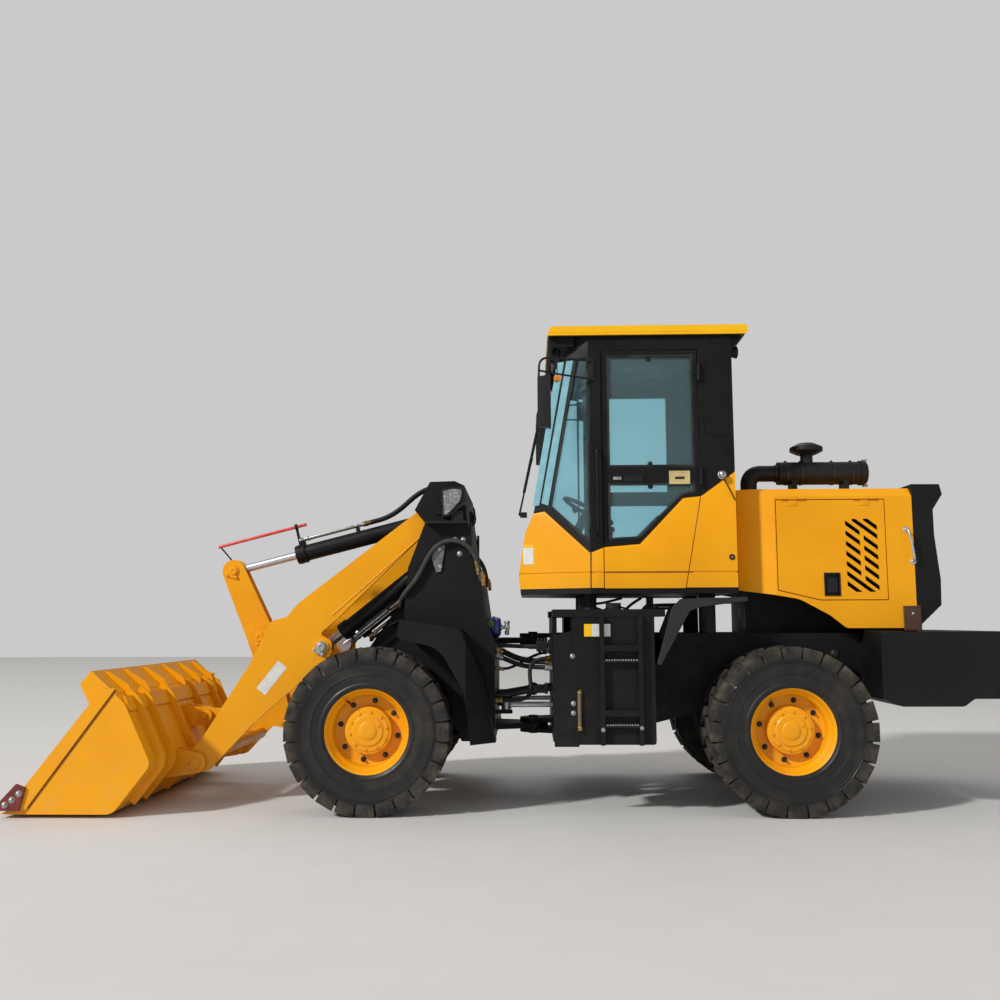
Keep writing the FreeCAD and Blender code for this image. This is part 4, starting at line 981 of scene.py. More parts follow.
def gap_lines():
    """Thick and thin lines across the articulation, with fittings at both plates."""
    routes = [
        (17, [(838, -290, 1060), (872, -290, 1045), (940, -290, 1012), (1000, -290, 988), (1090, -290, 970),
              (1234, -290, 965)]),
        (17, [(838, -340, 1020), (872, -340, 1004), (940, -340, 975), (1000, -340, 950), (1090, -340, 935),
              (1234, -340, 930)]),
        (15, [(1234, -440, 1000), (1185, -450, 1000), (1130, -460, 990), (1090, -465, 965), (1074, -465, 920),
              (1076, -465, 860), (1084, -465, 800), (1074, -465, 745), (1030, -460, 716), (960, -450, 708),
              (832, -440, 705)]),
        (14, [(838, 300, 1050), (872, 300, 1035), (940, 300, 1002), (1000, 300, 978), (1090, 300, 960),
              (1234, 300, 955)]),
        (10, [(838, -250, 925), (890, -250, 915), (960, -250, 935), (1050, -250, 985), (1140, -250, 1030),
              (1234, -250, 1045)]),
    ]
    for number, (radius, route) in enumerate(routes):
        made = hose("gap_hose_%d" % number, route, radius)
        hose_coat(made)
        if number < 4:
            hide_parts("gap_hoses")
        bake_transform(made)
        for end, after in ((route[0], route[1]), (route[-1], route[-2])):
            body = FRONT if end[0] < GAP_X else REAR
            way = Vector(after) - Vector(end)
            add(crimp("gap_nut_%d_%s" % (number, body), Vector(end) + way.normalized() * 18, way, radius * 0.92), body,
                ZINC if number % 2 else BRASS)


hoses()
gap_lines()


# Front tower: headlamps, brake booster, bolts


def front_tower():
    for hand, side_name in SIDES:
        line = [(464, 2183), (535, 2200), (600, 2196), (612, 2172), (600, 2106), (540, 2040), (508, 2006), (470, 2000)]
        y = hand * LAMP_FACE
        bowl = cut_plate("lamp_bowl_" + side_name, line, y, hand * 1.2, 0)
        pick(bowl, lambda p, n: n.y * hand > 0.9)
        bpy.ops.mesh.inset(thickness=0.014)
        draw_out((0, hand * 2.4, 0))
        bpy.ops.transform.resize(value=(0.86, 1, 0.86), center_override=at(540, y, 2110))
        done()
        add(smooth(bowl, 30), FRONT, REFLECTOR)
        add(smooth(cut_plate("lamp_glass_" + side_name, line, y + hand * 2, hand * 5, 2.2), 40), FRONT, CLEAR_GLASS)
        add(frame_plate("lamp_bezel_" + side_name, line, y, hand * 8, 9, 2), FRONT, PLASTIC)
        face = hand * TOWER_FACE
        places = [(552, face, 1838), (609, face, 1838), (583, face, 1739)]
        add(domes("tower_bolts_" + side_name, places, (0, hand, 0), 15, 12), FRONT, ZINC)
        black(block("tower_strap_" + side_name, (345, 640), (face, hand * (TOWER_FACE + 22)), (1946, 1972)), FRONT)
        depth = (hand * (TOWER_FACE - 60), hand * (TOWER_FACE + 6))
        black(block("tower_guard_" + side_name, (650, 668), depth, (1720, 1960), 4), FRONT)
        black(bolts("tower_side_bolts_" + side_name, [(300, face, 1240), (700, face, 1000), (700, face, 700)],
                    (0, hand, 0), 12), FRONT)
    drum = [(0, 20), (2, 62), (14, 70), (44, 72), (50, 78), (58, 78), (64, 72), (92, 68), (104, 56), (108, 26)]
    add(smooth(turned("brake_booster", (766, *BOOSTER_AXIS), drum, (1, 0, 0), 48), 30), FRONT, BLUE)
    stem = smooth(turned("booster_stem", (874, *BOOSTER_AXIS),
                         [(-4, 22), (6, 22), (8, 14), (40, 14), (44, 20), (56, 20), (60, 16)], (1, 0, 0), 28), 30)
    cap = smooth(turned("booster_stem", (914, -452, 1246), [(-24, 16), (0, 16), (2, 22), (16, 22), (20, 17)],
                        (0, 0, 1), 28), 30)
    pot = smooth(turned("booster_stem", (914, *BOOSTER_AXIS), [(-56, 11), (-52, 16), (-24, 16), (-20, 9), (0, 9)],
                        (0, 0, 1), 24), 30)
    add(joined("booster_stem", [stem, cap, pot]), FRONT, ZINC)
    add(smooth(turned("booster_seal", (800, -523, 1246), [(0, 26), (4, 26), (6, 20), (7, 6)], (0, -1, 0.2), 28), 30),
        FRONT, GREEN)
    black(block("booster_shelf", (760, 850), (-520, -400), (1128, 1152), 3), FRONT)


def gap_blocks():
    """Valve block with its caps, stalk and bracket, and the hose that feeds it."""
    core = block("valve_block", (1122, 1204), (-402, -338), (1048, 1120), 6)
    caps = [rod("valve_block", (x, -370, 1110), (x, -370, 1142), 12, 6, 3) for x in (1140, 1164, 1188)]
    lows = [rod("valve_block", (x, -370, 1060), (x, -370, 1026), 11, 20, 3) for x in (1146, 1184)]
    stalk = rod("valve_block", (1200, -370, 1086), (1236, -370, 1086), 15, 24, 2)
    bracket = block("valve_block", (1206, 1236), (-405, -335), (1040, 1130), 4)
    add(joined("valve_block", [core, stalk, bracket] + caps + lows), REAR, PLASTIC)
    feed = hose("valve_feed", [(838, -370, 1090), (880, -370, 1090), (960, -370, 1086), (1060, -370, 1082),
                               (1126, -370, 1082)], 15)
    hose_coat(feed)
    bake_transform(feed)


front_tower()
gap_blocks()


# Panels of the cab and the hood's doors, shaped on a copy of their plates


def worked_copy(node, name):
    """A copy of a plate with its facets joined, ready to be shaped."""
    made = twin(NODES[node], name)
    edit(made)
    bpy.ops.mesh.customdata_custom_splitnormals_clear()
    bpy.ops.mesh.remove_doubles(threshold=0.00002)
    bpy.ops.mesh.dissolve_limited(angle_limit=0.004)
    done()
    return made


def lies_on(point, line, reach=2.5):
    """Whether a point lies on an open line of (x, z) corners."""
    for (x0, z0), (x1, z1) in zip(line, line[1:]):
        run, rise = x1 - x0, z1 - z0
        size = math.hypot(run, rise)
        along = ((point.x - x0) * run + (point.z - z0) * rise) / size
        off = abs((point.x - x0) * rise - (point.z - z0) * run) / size
        if off < reach and -reach < along < size + reach:
            return True
    return False


def on_skin(point):
    """Whether a point lies on the cab's outer skin, which narrows ahead of the corner."""
    half = CAB_HALF - max(0, CORNER_X - point.x) * CORNER_FALL / CORNER_RUN
    return abs(abs(point.y) - half) < 2


DOOR_GROOVE = (1590, 1602)
WINDOW_LINE = [(980, 1600), (1048, 1960), (1090, 2032), (1188, 2045), (1496, 1737), (1600, 1777), (1840, 1796),
               (2144, 2114), (2278, 2129), (2540, 2320)]


def round_window_edge(made):
    """Broad round border of a yellow panel along the windows."""
    marked(made, "VERT", lambda vertex: vertex.co.z > 1.7)
    bpy.ops.mesh.remove_doubles(threshold=0.009)
    done()
    pick_lines(made, lambda a, b: a.y * b.y > 0 and all(on_skin(p) and lies_on(p, WINDOW_LINE, 10) for p in (a, b)))
    bpy.ops.mesh.bevel(offset=0.03, segments=5, affect="EDGES", clamp_overlap=True)
    done()
    return smooth(made, 35)


def cab_panels():
    shell = round_window_edge(worked_copy("cab_shell", "cab_shell_pressed"))
    yellow(shell, REAR)
    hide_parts("cab_shell")
    panel = worked_copy("door_panel", "door_panel_pressed")
    for z in DOOR_GROOVE:
        edit(panel)
        bpy.ops.mesh.bisect(plane_co=at(0, 0, z), plane_no=(0, 0, 1))
        done()
    pick(panel, lambda p, n: n.y < -0.9 and DOOR_GROOVE[0] < p.z < DOOR_GROOVE[1])
    draw_out((0, 6, 0))
    done()
    yellow(round_window_edge(panel), "cab_door")
    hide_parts("door_panel")


# Louvres: start x, end x, middle height at the start
LOUVRES = [
    (3291, 3393, 1943), (3291, 3393, 1873), (3291, 3393, 1801), (3291, 3393, 1730), (3291, 3393, 1659),
    (3291, 3490, 1590), (3291, 3393, 1519), (3416, 3515, 1977), (3338, 3515, 1972), (3416, 3515, 1838),
    (3416, 3515, 1768), (3416, 3515, 1698), (3416, 3515, 1629), (3416, 3515, 1557),
]


def louvre(x0, x1, middle):
    """Slanted slot with round corners, trimmed level at the top and the foot of the two rows."""
    fall = 0.75 * (x1 - x0)
    line = [(x0, middle - 17), (x1, middle - fall - 17), (x1, middle - fall + 17), (x0, middle + 17)]
    made = cut_plate("louvre", line, -612, 40, 0)
    for z, way in ((1970, 1), (1458, -1)):
        edit(made)
        bpy.ops.mesh.bisect(plane_co=at(0, 0, z), plane_no=(0, 0, way), use_fill=True, clear_outer=True)
        done()
    pick_lines(made, lambda a, b: abs(a.x - b.x) < 1 and abs(a.z - b.z) < 1)
    bpy.ops.mesh.bevel(offset=0.008, segments=3, affect="EDGES", clamp_overlap=True)
    done()
    return made


def taken_away(made, tool):
    """Cuts the tool's form out of a piece."""
    choose(made)
    cut = made.modifiers.new("cut", "BOOLEAN")
    cut.operation = "DIFFERENCE"
    cut.object = tool
    cut.solver = "EXACT"
    bpy.ops.object.modifier_apply(modifier="cut")
    bpy.data.objects.remove(tool, do_unlink=True)
    return made


def hood_doors():
    """Side doors with two rows of slanted louvres and the hole of the latch."""
    line = [(2814, 1475), (3101, 1406), (3566, 1406), (3566, 2104), (2814, 2104)]
    plate = cut_plate("hood_door", line, -600, 12, 0)
    slots = [louvre(*size) for size in LOUVRES]
    slots.append(block("latch_hole", (3134, 3238), (-612, -572), (1435, 1589), 0))
    plate = taken_away(plate, joined("louvres", slots))
    knuckles = [rod("knuckle", (x, -608, 2114), (x + 60, -608, 2114), 8, 24, 1.5) for x in (2900, 3400)]
    leaves = [block("leaf", (x, x + 60), (-604, -599), (2064, 2113), 1) for x in (2900, 3400)]
    left = smooth(joined("hood_door_left_pressed", [plate] + knuckles + leaves), 35)
    right = mirrored(left, "hood_door_right_pressed")
    for side_name, made in (("left", left), ("right", right)):
        yellow(made, "hood_door_" + side_name)
        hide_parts("hood_door_" + side_name)


cab_panels()
hood_doors()


# Cab: seals, handle, lock, knobs, lamps, mirrors and wiper

DOOR_TOP_PANE = [(1630, 2330), (2235, 2330), (2235, 3130), (1630, 3130)]
DOOR_LOW_PANE = [(1630, 1820), (1840, 1830), (2140, 2130), (2235, 2150), (2235, 2215), (1630, 2215)]
CORNER = math.degrees(math.atan2(CORNER_FALL, CORNER_RUN))


def along_corner(x):
    """A place on the slanted front corner, laid out flat."""
    return CORNER_X - (CORNER_X - x) / math.cos(math.radians(CORNER))


def to_corner(made):
    return swung(made, (CORNER_X, -CAB_HALF, 0), (0, 0, 1), -CORNER)


def on_corner(name, outline):
    """Thin plate on the slanted front corner."""
    return to_corner(cut_plate(name, [(along_corner(x), z) for x, z in outline], -719, -3, 1))


def cab_door_parts():
    seals = [frame_plate("door_seal", pane, -714, -8, 15, 2) for pane in (DOOR_TOP_PANE, DOOR_LOW_PANE)]
    add(joined("door_seals", seals), "cab_door", SEAL)
    tray = sunk(block("handle_tray", (1644, 1870), (-727, -716), (2219, 2277), 0), 8, 8)
    grip = block("handle_grip", (1736, 1862), (-728, -722), (2228, 2268), 5, 3)
    add(joined("door_handle", [ease(tray, 2), grip]), "cab_door", PLASTIC)
    lever = block("handle_lever", (1664, 1722), (-731, -721), (2238, 2262), 4, 3)
    barrel = rod("handle_lever", (1684, -724, 2250), (1684, -735, 2250), 9, 24, 2)
    add(joined("handle_lever", [lever, barrel]), "cab_door", ZINC)
    add(ease(sunk(block("lock_plate", (2054, 2198), (-727, -717), (2207, 2300), 0), 11, 2.5), 2), "cab_door",
        LOCK_GOLD)
    add(block("lock_slot", (2094, 2160), (-728, -723), (2243, 2259), 4, 3), "cab_door", DARK_STEEL)
    add(domes("window_knobs", [(1925, -706, 3104), (1925, -706, 2352), (1925, -706, 2194)], (0, -1, 0), 15, 10),
        "cab_door", PLASTIC)
    add(block("door_post_seal", (1580, 1601), (-677, -669), (1490, 3165), 2), REAR, SEAL)


def cab_side_parts():
    pane = [(along_corner(x), z) for x, z in ((1225, 2070), (1500, 1795), (1500, 3130), (1415, 3130))]
    seal = to_corner(frame_plate("corner_seal", pane, -714, -8, 15, 2))
    add(pair_of("corner_seals", seal), REAR, SEAL)
    line = [(2297, 2552), (2470, 2537), (2491, 3218), (2336, 3220)]
    bead = frame_plate("pillar_bead", line, -719, -5, 7, 2)
    face = cut_plate("pillar_face", [(2312, 2567), (2458, 2553), (2477, 3203), (2348, 3205)], -719, -2, 1)
    black(pair_of("pillar_beads", joined("pillar_bead", [bead, face])), REAR)
    black(cut_plate("corner_post", [(1506, 1800), (1584, 1800), (1584, 3166), (1506, 3166)], -719, -5, 2), REAR)
    # Thin plates over the front posts that stand for the wrap-around glass, with its reflection painted in as a pale
    # blue-grey colour.
    strips = [on_corner("wrapped_pane_painted_reflection", line) for line in (((1104, 2085), (1150, 2085), (1335, 3110), (1286, 3110)),
                                                            ((1166, 2100), (1214, 2080), (1398, 3110), (1352, 3110)))]
    add(pair_of("wrapped_pane_painted_reflection_pair", joined("wrapped_pane_painted_reflection", strips)), REAR, PAINTED_GLASS_REFLECTION)
    add(smooth(turned("beacon_foot", (2421, -719, 2269), [(0, 30), (6, 30), (9, 22), (14, 20), (18, 25), (30, 27),
                                                          (42, 24), (50, 14), (52, 0)], (0, -1, 0), 32), 40), REAR,
        ZINC)
    add(rod("beacon_stay", (2424, -726, 2262), (2505, -726, 2093), 4, 12, 1), REAR, DARK_STEEL)
    add(smooth(turned("panel_lock", (2473, -719, 1698), [(0, 20), (5, 20), (8, 17), (8, 11), (6, 10), (6, 0)],
                      (0, -1, 0), 32), 40), REAR, PLASTIC)
    add(rod("panel_lock_core", (2473, -723, 1698), (2473, -729, 1698), 7, 20, 1), REAR, ZINC)
    for name, low, high, material in (("nose_plate", 1665, 1785, PLATE_WHITE),
                                      ("nose_plate_band", 1786, 1808, ROOF_YELLOW)):
        add(on_corner(name, ((1034, low), (1108, low), (1108, high), (1034, high))), REAR, material)


def wiper():
    """Pantograph wiper on the left of the windscreen: motor, two thin arms and the blade."""
    motor = block("wiper_motor", (1010, 1062), (-215, -130), (2036, 2072), 6, 3)
    pivots = [rod("wiper_pivot", (1030, y, 2050), (1000, y, 2062), 9, 20, 2) for y in (-150, -190)]
    arms = [rod("wiper_arm", (1006, y, 2062), (1066, y - 20, 2330), 7, 10, 1, 6) for y in (-150, -190)]
    arm = rod("wiper_arm", (1066, -190, 2330), (1108, -200, 2480), 4, 10, 1)
    blade = block("wiper_blade", (1090, 1104), (-206, -194), (2210, 2790), 3)
    lip = block("wiper_lip", (1102, 1112), (-202, -198), (2215, 2785), 1)
    for made in (blade, lip):
        swung(made, (1097, -200, 2500), (0, 1, 0), 12.2)
    add(joined("wiper", [motor, arm, blade, lip] + pivots + arms), REAR, PLASTIC)


def mirror():
    """Mirror head on a bracket of two bent tubes, on a plate at the front of the door's post."""
    head = block("mirror_head", (1140, 1232), (-892, -812), (2586, 2954), 0)
    pick(head, lambda p, n: n.x < -0.9)
    bpy.ops.transform.resize(value=(1, 0.8, 0.95), center_override=at(1140, -852, 2770))
    done()
    head = ease(sunk(head, 12, 6, (-1, 0, 0)), 28, 5)
    glass = cut_plate("mirror_glass", [(1226, 2606), (1229, 2606), (1229, 2934), (1226, 2934)], -876, 48, 1)
    upper = hose("mirror_tube", [(1520, -735, 3089), (1440, -752, 3090), (1300, -800, 3092), (1200, -845, 3088),
                                 (1158, -856, 3060), (1150, -858, 3000), (1150, -856, 2900)], 8)
    lower = hose("mirror_tube", [(1520, -735, 2957), (1420, -762, 2966), (1300, -800, 2976), (1200, -840, 2986),
                                 (1152, -856, 2992)], 7)
    plate = block("mirror_plate", (1502, 1546), (-733, -716), (2946, 3110), 4)
    heads = bolts("mirror_bolts", [(1524, -732, 2975), (1524, -732, 3060)], (0, -1, 0), 7, 6)
    bracket = joined("mirror_left", [head, upper, lower, plate, heads])
    add(smooth(joined("mirror_pair", [bracket, mirrored(bracket, "mirror_right")]), 40), REAR, PLASTIC,
        "mirrors")
    add(pair_of("mirror_panes", glass), REAR, CHROME)


def roof_parts():
    lamps = []
    for y in (-560, 560):
        can = turned("front_lamp", (1284, y, 3080), [(-34, 22), (-30, 36), (0, 44), (30, 44), (34, 42), (34, 38)],
                     (-1, 0, -0.1), 32)
        yoke = block("front_lamp_yoke", (1270, 1292), (y - 8, y + 8), (3118, 3210), 3)
        lamps += [can, yoke]
    add(smooth(joined("front_lamps", lamps), 35), REAR, PLASTIC)
    lenses = [turned("front_lens", (1251, y, 3077), [(-1, 40), (2, 38), (4, 20), (5, 0)], (-1, 0, -0.1), 32)
              for y in (-560, 560)]
    add(smooth(joined("front_lenses", lenses), 35), REAR, CLEAR_GLASS)
    ambers = [block("amber_lamp", (1262, 1322), (y - 18, y + 18), (2976, 3012), 6, 3) for y in (-600, 600)]
    posts = [block("amber_post", (1282, 1300), (y - 6, y + 6), (3010, 3215), 2) for y in (-600, 600)]
    add(joined("amber_lamps", ambers), REAR, AMBER)
    add(joined("amber_posts", posts), REAR, PLASTIC)
    for x, way in ((1262, -1), (2603, 1)):
        discs = [turned("work_lens", (x, y, 3208), [(0, 38), (3, 36), (5, 20), (6, 0)], (way, 0, 0), 32)
                 for y in (-470, 470)]
        add(smooth(joined("work_lenses_%d" % x, discs), 35), REAR, CLEAR_GLASS)
    black(block("roof_liner", (1222, 2604), (-744, 744), (3262, 3269.5), 2), REAR)
    add(frame_plate("roof_lip", [(1222, 3272), (2612, 3272), (2626, 3294), (1224, 3294)], -752, 4, 4, 1), REAR,
        ROOF_YELLOW)


cab_door_parts()
cab_side_parts()
wiper()
mirror()
roof_parts()


# Seat, steering wheel and levers seen through the windows


CUSHION_MESH = 0.006
CUSHION_PRESSURE = 4
CLOTH_STEPS = 20


def stuffed(made, name, reach):
    """Fills a cushion out as cloth under pressure, each point held within reach, in millimetres, of its start."""
    made.name = name
    choose(made)
    made.data.remesh_voxel_size = CUSHION_MESH
    bpy.ops.object.voxel_remesh()
    starts = [point.co.copy() for point in made.data.vertices]
    cloth = made.modifiers.new("stuffing", "CLOTH")
    cloth.settings.use_pressure = True
    cloth.settings.uniform_pressure_force = CUSHION_PRESSURE
    cloth.settings.effector_weights.gravity = 0
    for step in range(1, CLOTH_STEPS + 1):
        bpy.context.scene.frame_set(step)
    bpy.ops.object.modifier_apply(modifier="stuffing")
    bpy.context.scene.frame_set(1)
    for point, start in zip(made.data.vertices, starts):
        move = point.co - start
        if move.length > reach / 1000:
            point.co = start + move.normalized() * reach / 1000
    bpy.ops.object.shade_smooth()
    return made


def padded_seat():
    """Base in black moulding, cushion and back in vinyl, each padded piece crowned and filled out."""
    base = block("seat_base", (1965, 2295), (-195, 195), (1492, 1786), 18, 3)
    cushion = stuffed(ease(block("cushion", (1918, 2343), (-220, 220), (1800, 1888), 0), 24, 3), "seat_cushion", 22)
    back = block("back", (2302, 2372), (-212, 212), (1924, 2546), 0)
    pick(back, lambda p, n: n.z > 0.9)
    bpy.ops.transform.translate(value=(0.088, 0, 0))
    bpy.ops.transform.resize(value=(0.9, 0.78, 1), center_override=at(2425, 0, 2546))
    done()
    back = stuffed(ease(back, 24, 3), "seat_back", 22)
    for soft in (cushion, back):
        add(soft, REAR, VINYL, "seat")
    add(base, REAR, PLASTIC, "seat")


def cab_inside():
    levers = [rod("lever", (1700, y, 1500), (1730, y - 10, 1960), 7, 12, 1) for y in (270, 320)]
    knobs = [turned("lever_knob", (1730, y - 10, 1956), [(0, 10), (8, 20), (24, 24), (40, 18), (48, 0)], (0.06, 0, 1),
                    24) for y in (270, 320)]
    console = block("lever_console", (1660, 1760), (235, 355), (1490, 1620), 12, 3)
    add(smooth(joined("levers", levers + knobs + [console]), 40), REAR, PLASTIC)
    cap = turned("wheel_cap", (1530, 0, 2100), [(8, 46), (22, 44), (30, 30), (32, 0)], (-0.48, 0, 0.88), 32)
    knob = rod("wheel_knob", (1430, -150, 2070), (1412, -150, 2110), 16, 20, 4)
    add(smooth(joined("wheel_cap", [cap, knob]), 40), REAR, PLASTIC)


padded_seat()
cab_inside()


# Hood: latch recess, grab handle, recessed dark plates that paint the shade of the side openings, air cleaner clamps


def hood_parts():
    recess = sunk(block("latch_recess", (3130, 3242), (-606, -574), (1431, 1593), 0), 9, 26)
    flap = block("latch_flap", (3146, 3226), (-594, -584), (1452, 1560), 4, 3)
    cup = joined("latch_recess", [ease(recess, 2), flap])
    add(cup, "hood_door_left", PLASTIC)
    add(mirrored(cup, "latch_recess_right"), "hood_door_right", PLASTIC)
    grip = hose("hood_grip", [(3711, -598, 1892), (3711, -628, 1892), (3715, -648, 1880), (3728, -652, 1800),
                              (3742, -650, 1700), (3748, -640, 1672), (3750, -598, 1668)], 9)
    feet = [turned("grip_foot", place, [(0, 22), (3, 22), (6, 14), (8, 9)], (0, -1, 0), 24)
            for place in ((3711, -600, 1892), (3750, -600, 1668))]
    add(smooth(joined("hood_grip", [grip] + feet), 50), REAR, CHROME)
    # A recessed dark brown plate at each lower rear corner of the hood, painting the shade of an opening there.
    case = sunk(block("shaded_side_opening", (3666, 3784), (-618, -590), (1190, 1361), 4), 7, 3)
    add(pair_of("shaded_side_openings", case), REAR, OPENING_SHADE_PAINT)
    add(dome("shaded_side_opening_bolt", (3727, -615, 1306), (0, -1, 0), 9, 7), REAR, ZINC)
    clamps = []
    for x in (2990, 3100, 3330, 3470):
        band = [(-9, 86), (-9, 89), (9, 89), (9, 86)]
        clamps.append(turned("can_clamp", (x, *CAN_AXIS), band, (1, 0, 0), ring=True))
        clamps.append(rod("can_clamp", (x, -214, 2441), (x, -186, 2441), 6, 12, 1))
    add(smooth(joined("can_clamps", clamps), 35), REAR, DARK_STEEL)
    add(smooth(turned("can_cap", (3530, *CAN_AXIS), [(40, 84), (52, 80), (56, 62), (50, 58), (50, 26), (58, 20),
                                                     (60, 0)], (1, 0, 0), 48), 35), REAR, PLASTIC)
    pads = [block("can_catch", (3560, 3592), (-220, -180), (z, z + 18)) for z in (2434, 2248)]
    add(joined("can_catches", pads), REAR, ZINC)
    sites = (((2716, -200, 2204), (0, 0, 1), 64), ((2915, *CAN_AXIS), (1, 0, 0), 65))
    bands = [turned("elbow_clamp", site, [(-8, 60), (-8, out), (8, out), (8, 60)], way, 40, ring=True)
             for site, way, out in sites]
    add(smooth(joined("elbow_clamps", bands), 35), REAR, DARK_STEEL)


hood_parts()


# Ladder, tank and rear frame: treads, gauge, plate, bolts


RUNG_HEIGHTS = (588, 1006)


def tank_parts():
    rungs = [block("rung", (1562, 1800), (-1022, -982), (z - 12, z), 2) for z in RUNG_HEIGHTS]
    add(joined("rungs", rungs), REAR, PLASTIC)
    teeth = []
    for z in RUNG_HEIGHTS:
        first = block("tread_tooth", (1572, 1584), (-1022, -980), (z - 1, z + 7), 0)
        pick(first, lambda p, n: n.z > 0.9)
        bpy.ops.transform.resize(value=(0.45, 1, 1), center_override=at(1578, 0, z + 7))
        done()
        teeth.append(along_row(first, "tread_teeth_%d" % z, [(18 * i, 0, 0) for i in range(1, 12)]))
    add(joined("tread_teeth", teeth), REAR, WORN_GREY)
    add(cut_plate("tank_plate", [(1484, 1161), (1609, 1161), (1609, 1243), (1484, 1243)], -974, -3, 1), REAR,
        PLATE_WHITE)
    add(cut_plate("tank_plate_mark", [(1435, 1161), (1483, 1161), (1483, 1243), (1435, 1243)], -974, -3, 1), REAR,
        ROOF_YELLOW)
    add(smooth(rod("sight_glass", (1400, -990, 575), (1400, -990, 795), 11, 24, 1), 40), REAR, AMBER_GLASS)
    ends = []
    for z, way in ((560, 1), (808, -1)):
        ends.append(rod("gauge_end", (1400, -990, z - 6), (1400, -990, z + 18 * way), 15, 6, 2))
        ends.append(rod("gauge_end", (1400, -972, z), (1400, -1004, z), 9, 20, 2))
    guard = block("gauge_guard", (1388, 1412), (-980, -974), (566, 802), 2)
    add(joined("gauge_ends", ends), REAR, BRASS)
    add(guard, REAR, ZINC)
    add(bolts("ladder_bolts", [(1549, -1020, 560), (1800, -1020, 572)], (0, -1, 0), 10, 8), REAR, ZINC)
    add(smooth(turned("filler_cap", (1640, -860, 1340), [(0, 52), (26, 52), (32, 46), (34, 20), (34, 0)], (0, 0, 1),
                      40), 35), REAR, PLASTIC)
    add(block("filler_lug", (1588, 1692), (-868, -852), (1370, 1384), 3), REAR, PLASTIC)
    line = [(1234, 447), (1396, 447), (1396, 1000), (1352, 1110), (1352, 1200), (1234, 1165)]
    black(cut_plate("tank_bracket", line, -972, -6, 2), REAR)
    add(domes("tank_bolts", [(1356, -978, 1034), (1359, -978, 726), (1359, -978, 665)], (0, -1, 0), 13, 9), REAR, ZINC)
    lenses = [block("tail_lens", (4388, 4401), (hand * 445, hand * 555), (1040, 1100), 4, 3) for hand in (-1, 1)]
    add(joined("tail_lenses", lenses), REAR, TAIL_RED)


tank_parts()


def side_parts():
    """Flared edge of the rear fender, the skirt under the hood and lines under the cab's floor."""
    line = [(1908, 982), (1934, 972), (2132, 1326), (2198, 1352), (2513, 1390), (2514, 1416), (2199, 1411),
            (2068, 1405), (2012, 1345)]
    add(pair_of("fender_lips", cut_plate("fender_lip", line, -1000, 12, 4)), REAR, LAMP_MOULDING)
    black(block("hood_skirt", (3400, 3755), (-585, 585), (1183, 1210), 2), REAR)
    add(smooth(turned("side_stop", (3186, -578, 1030), [(0, 34), (20, 34), (30, 26), (34, 10), (34, 0)], (0, -1, 0),
                      32), 40), REAR, PLASTIC)
    routes = [
        (9, [(1421, -500, 1432), (1450, -505, 1400), (1505, -510, 1382), (1604, -505, 1388), (1732, -500, 1424)]),
        (8, [(1440, -470, 1432), (1480, -475, 1385), (1575, -480, 1345), (1640, -480, 1322), (1660, -480, 1296)]),
        (10, [(1700, -520, 1300), (1752, -520, 1340), (1800, -515, 1385), (1867, -510, 1424)]),
        (7, [(1560, -540, 1300), (1600, -540, 1350), (1690, -540, 1366), (1790, -535, 1340), (1830, -530, 1300)]),
    ]
    lines = [hose("floor_line", route, radius) for radius, route in routes]
    stays = [block("floor_stay", (x, x + 46), (-560, -500), (1288, 1430), 5) for x in (1420, 1900)]
    add(joined("floor_lines", lines + stays), REAR, PLASTIC)
    gap = cut_plate("post_gap", [(1497, 1466), (1505, 1466), (1507, 1730), (1499, 1738)], -719.4, -1, 0)
    add(pair_of("post_gaps", gap), REAR, SEAL)
    # A dark strip inside the door's groove that paints the groove's shadow.
    add(block("shadow_in_door_groove", (1602, 2200), (-716.5, -713), (1591, 1601), 0), "cab_door", PAINTED_SEAM_SHADOW)


side_parts()


# Studio and camera


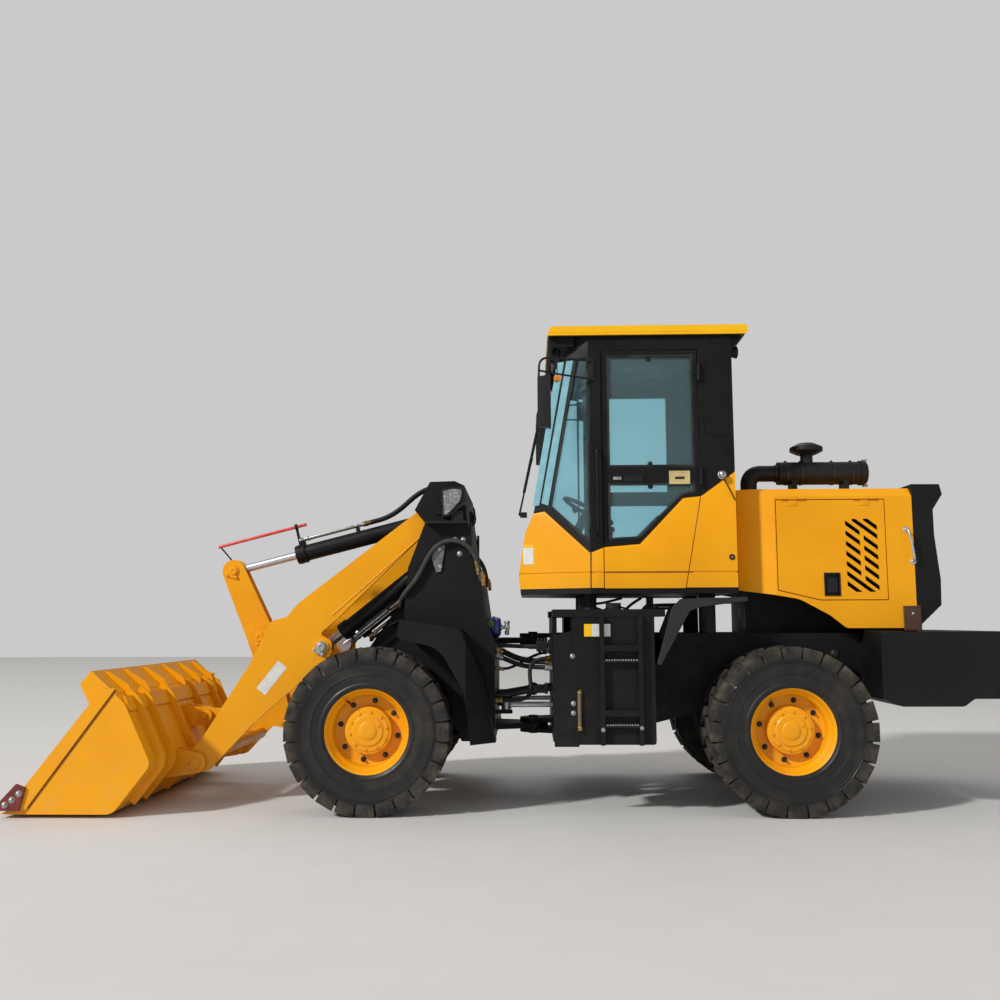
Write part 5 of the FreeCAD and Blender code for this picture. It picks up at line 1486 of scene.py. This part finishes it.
def studio():
    scene = bpy.context.scene
    deselect()
    bpy.ops.mesh.primitive_plane_add(size=60, location=(0, 0, 0))
    floor = settle("studio_floor")
    made = Finish("studio_floor", 0.9)
    made.colour(made.blend(made.noise(3, 3), (202, 200, 197), (208, 206, 203)))
    coat(floor, made.material)
    world = bpy.data.worlds.new("studio")
    world.use_nodes = True
    scene.world = world
    nodes, links = world.node_tree.nodes, world.node_tree.links
    soft = nodes["Background"]
    soft.inputs["Color"].default_value = (1.0, 1.0, 1.0, 1)
    mirrored_sky, seen = [nodes.new("ShaderNodeBackground") for _ in range(2)]
    for sky, strength in ((soft, 0.46), (mirrored_sky, 0.3), (seen, 0.74)):
        sky.inputs["Strength"].default_value = strength
    path = nodes.new("ShaderNodeLightPath")
    either = nodes.new("ShaderNodeMath")
    either.operation = "MAXIMUM"
    inner = nodes.new("ShaderNodeMixShader")
    mix = nodes.new("ShaderNodeMixShader")
    joins = [
        (path.outputs["Is Glossy Ray"], inner.inputs["Fac"]), (soft.outputs[0], inner.inputs[1]),
        (mirrored_sky.outputs[0], inner.inputs[2]), (path.outputs["Is Camera Ray"], either.inputs[0]),
        (path.outputs["Is Transmission Ray"], either.inputs[1]), (either.outputs[0], mix.inputs["Fac"]),
        (inner.outputs[0], mix.inputs[1]), (seen.outputs[0], mix.inputs[2]),
        (mix.outputs[0], nodes["World Output"].inputs["Surface"]),
    ]
    for source, socket in joins:
        links.new(source, socket)
    lights = (("key", (-44.0, -36.0, 40.0), 40000, 4.5), ("fill", (7.0, -6.5, 4.0), 40, 4.0),
              ("top", (0.5, 3.5, 8.5), 120, 5.0))
    for name, place, power, size in lights:
        lamp = bpy.data.lights.new(name, "AREA")
        lamp.energy = power
        lamp.size = size
        holder = bpy.data.objects.new(name, lamp)
        scene.collection.objects.link(holder)
        holder.location = place
        holder.rotation_euler = (Vector((0, 0, 1.2)) - Vector(place)).to_track_quat("-Z", "Y").to_euler()
    scene.view_settings.view_transform = "Standard"


def camera():
    """Eye level a little above the wheels, near the front half, looking slightly up."""
    place, yaw, pitch, roll = (0.061, -7.755, 1.26), 0.0279, 0.1193, -0.0031
    lens = bpy.data.cameras.new("camera")
    lens.lens = 36.55
    lens.sensor_width = 36
    holder = bpy.data.objects.new("camera", lens)
    bpy.context.scene.collection.objects.link(holder)
    aim = Matrix.Rotation(yaw, 4, "Z") @ Matrix.Rotation(math.pi / 2 + pitch, 4, "X") @ Matrix.Rotation(roll, 4, "Z")
    holder.matrix_world = Matrix.Translation(place) @ aim
    bpy.context.scene.camera = holder


studio()
camera()

deselect()
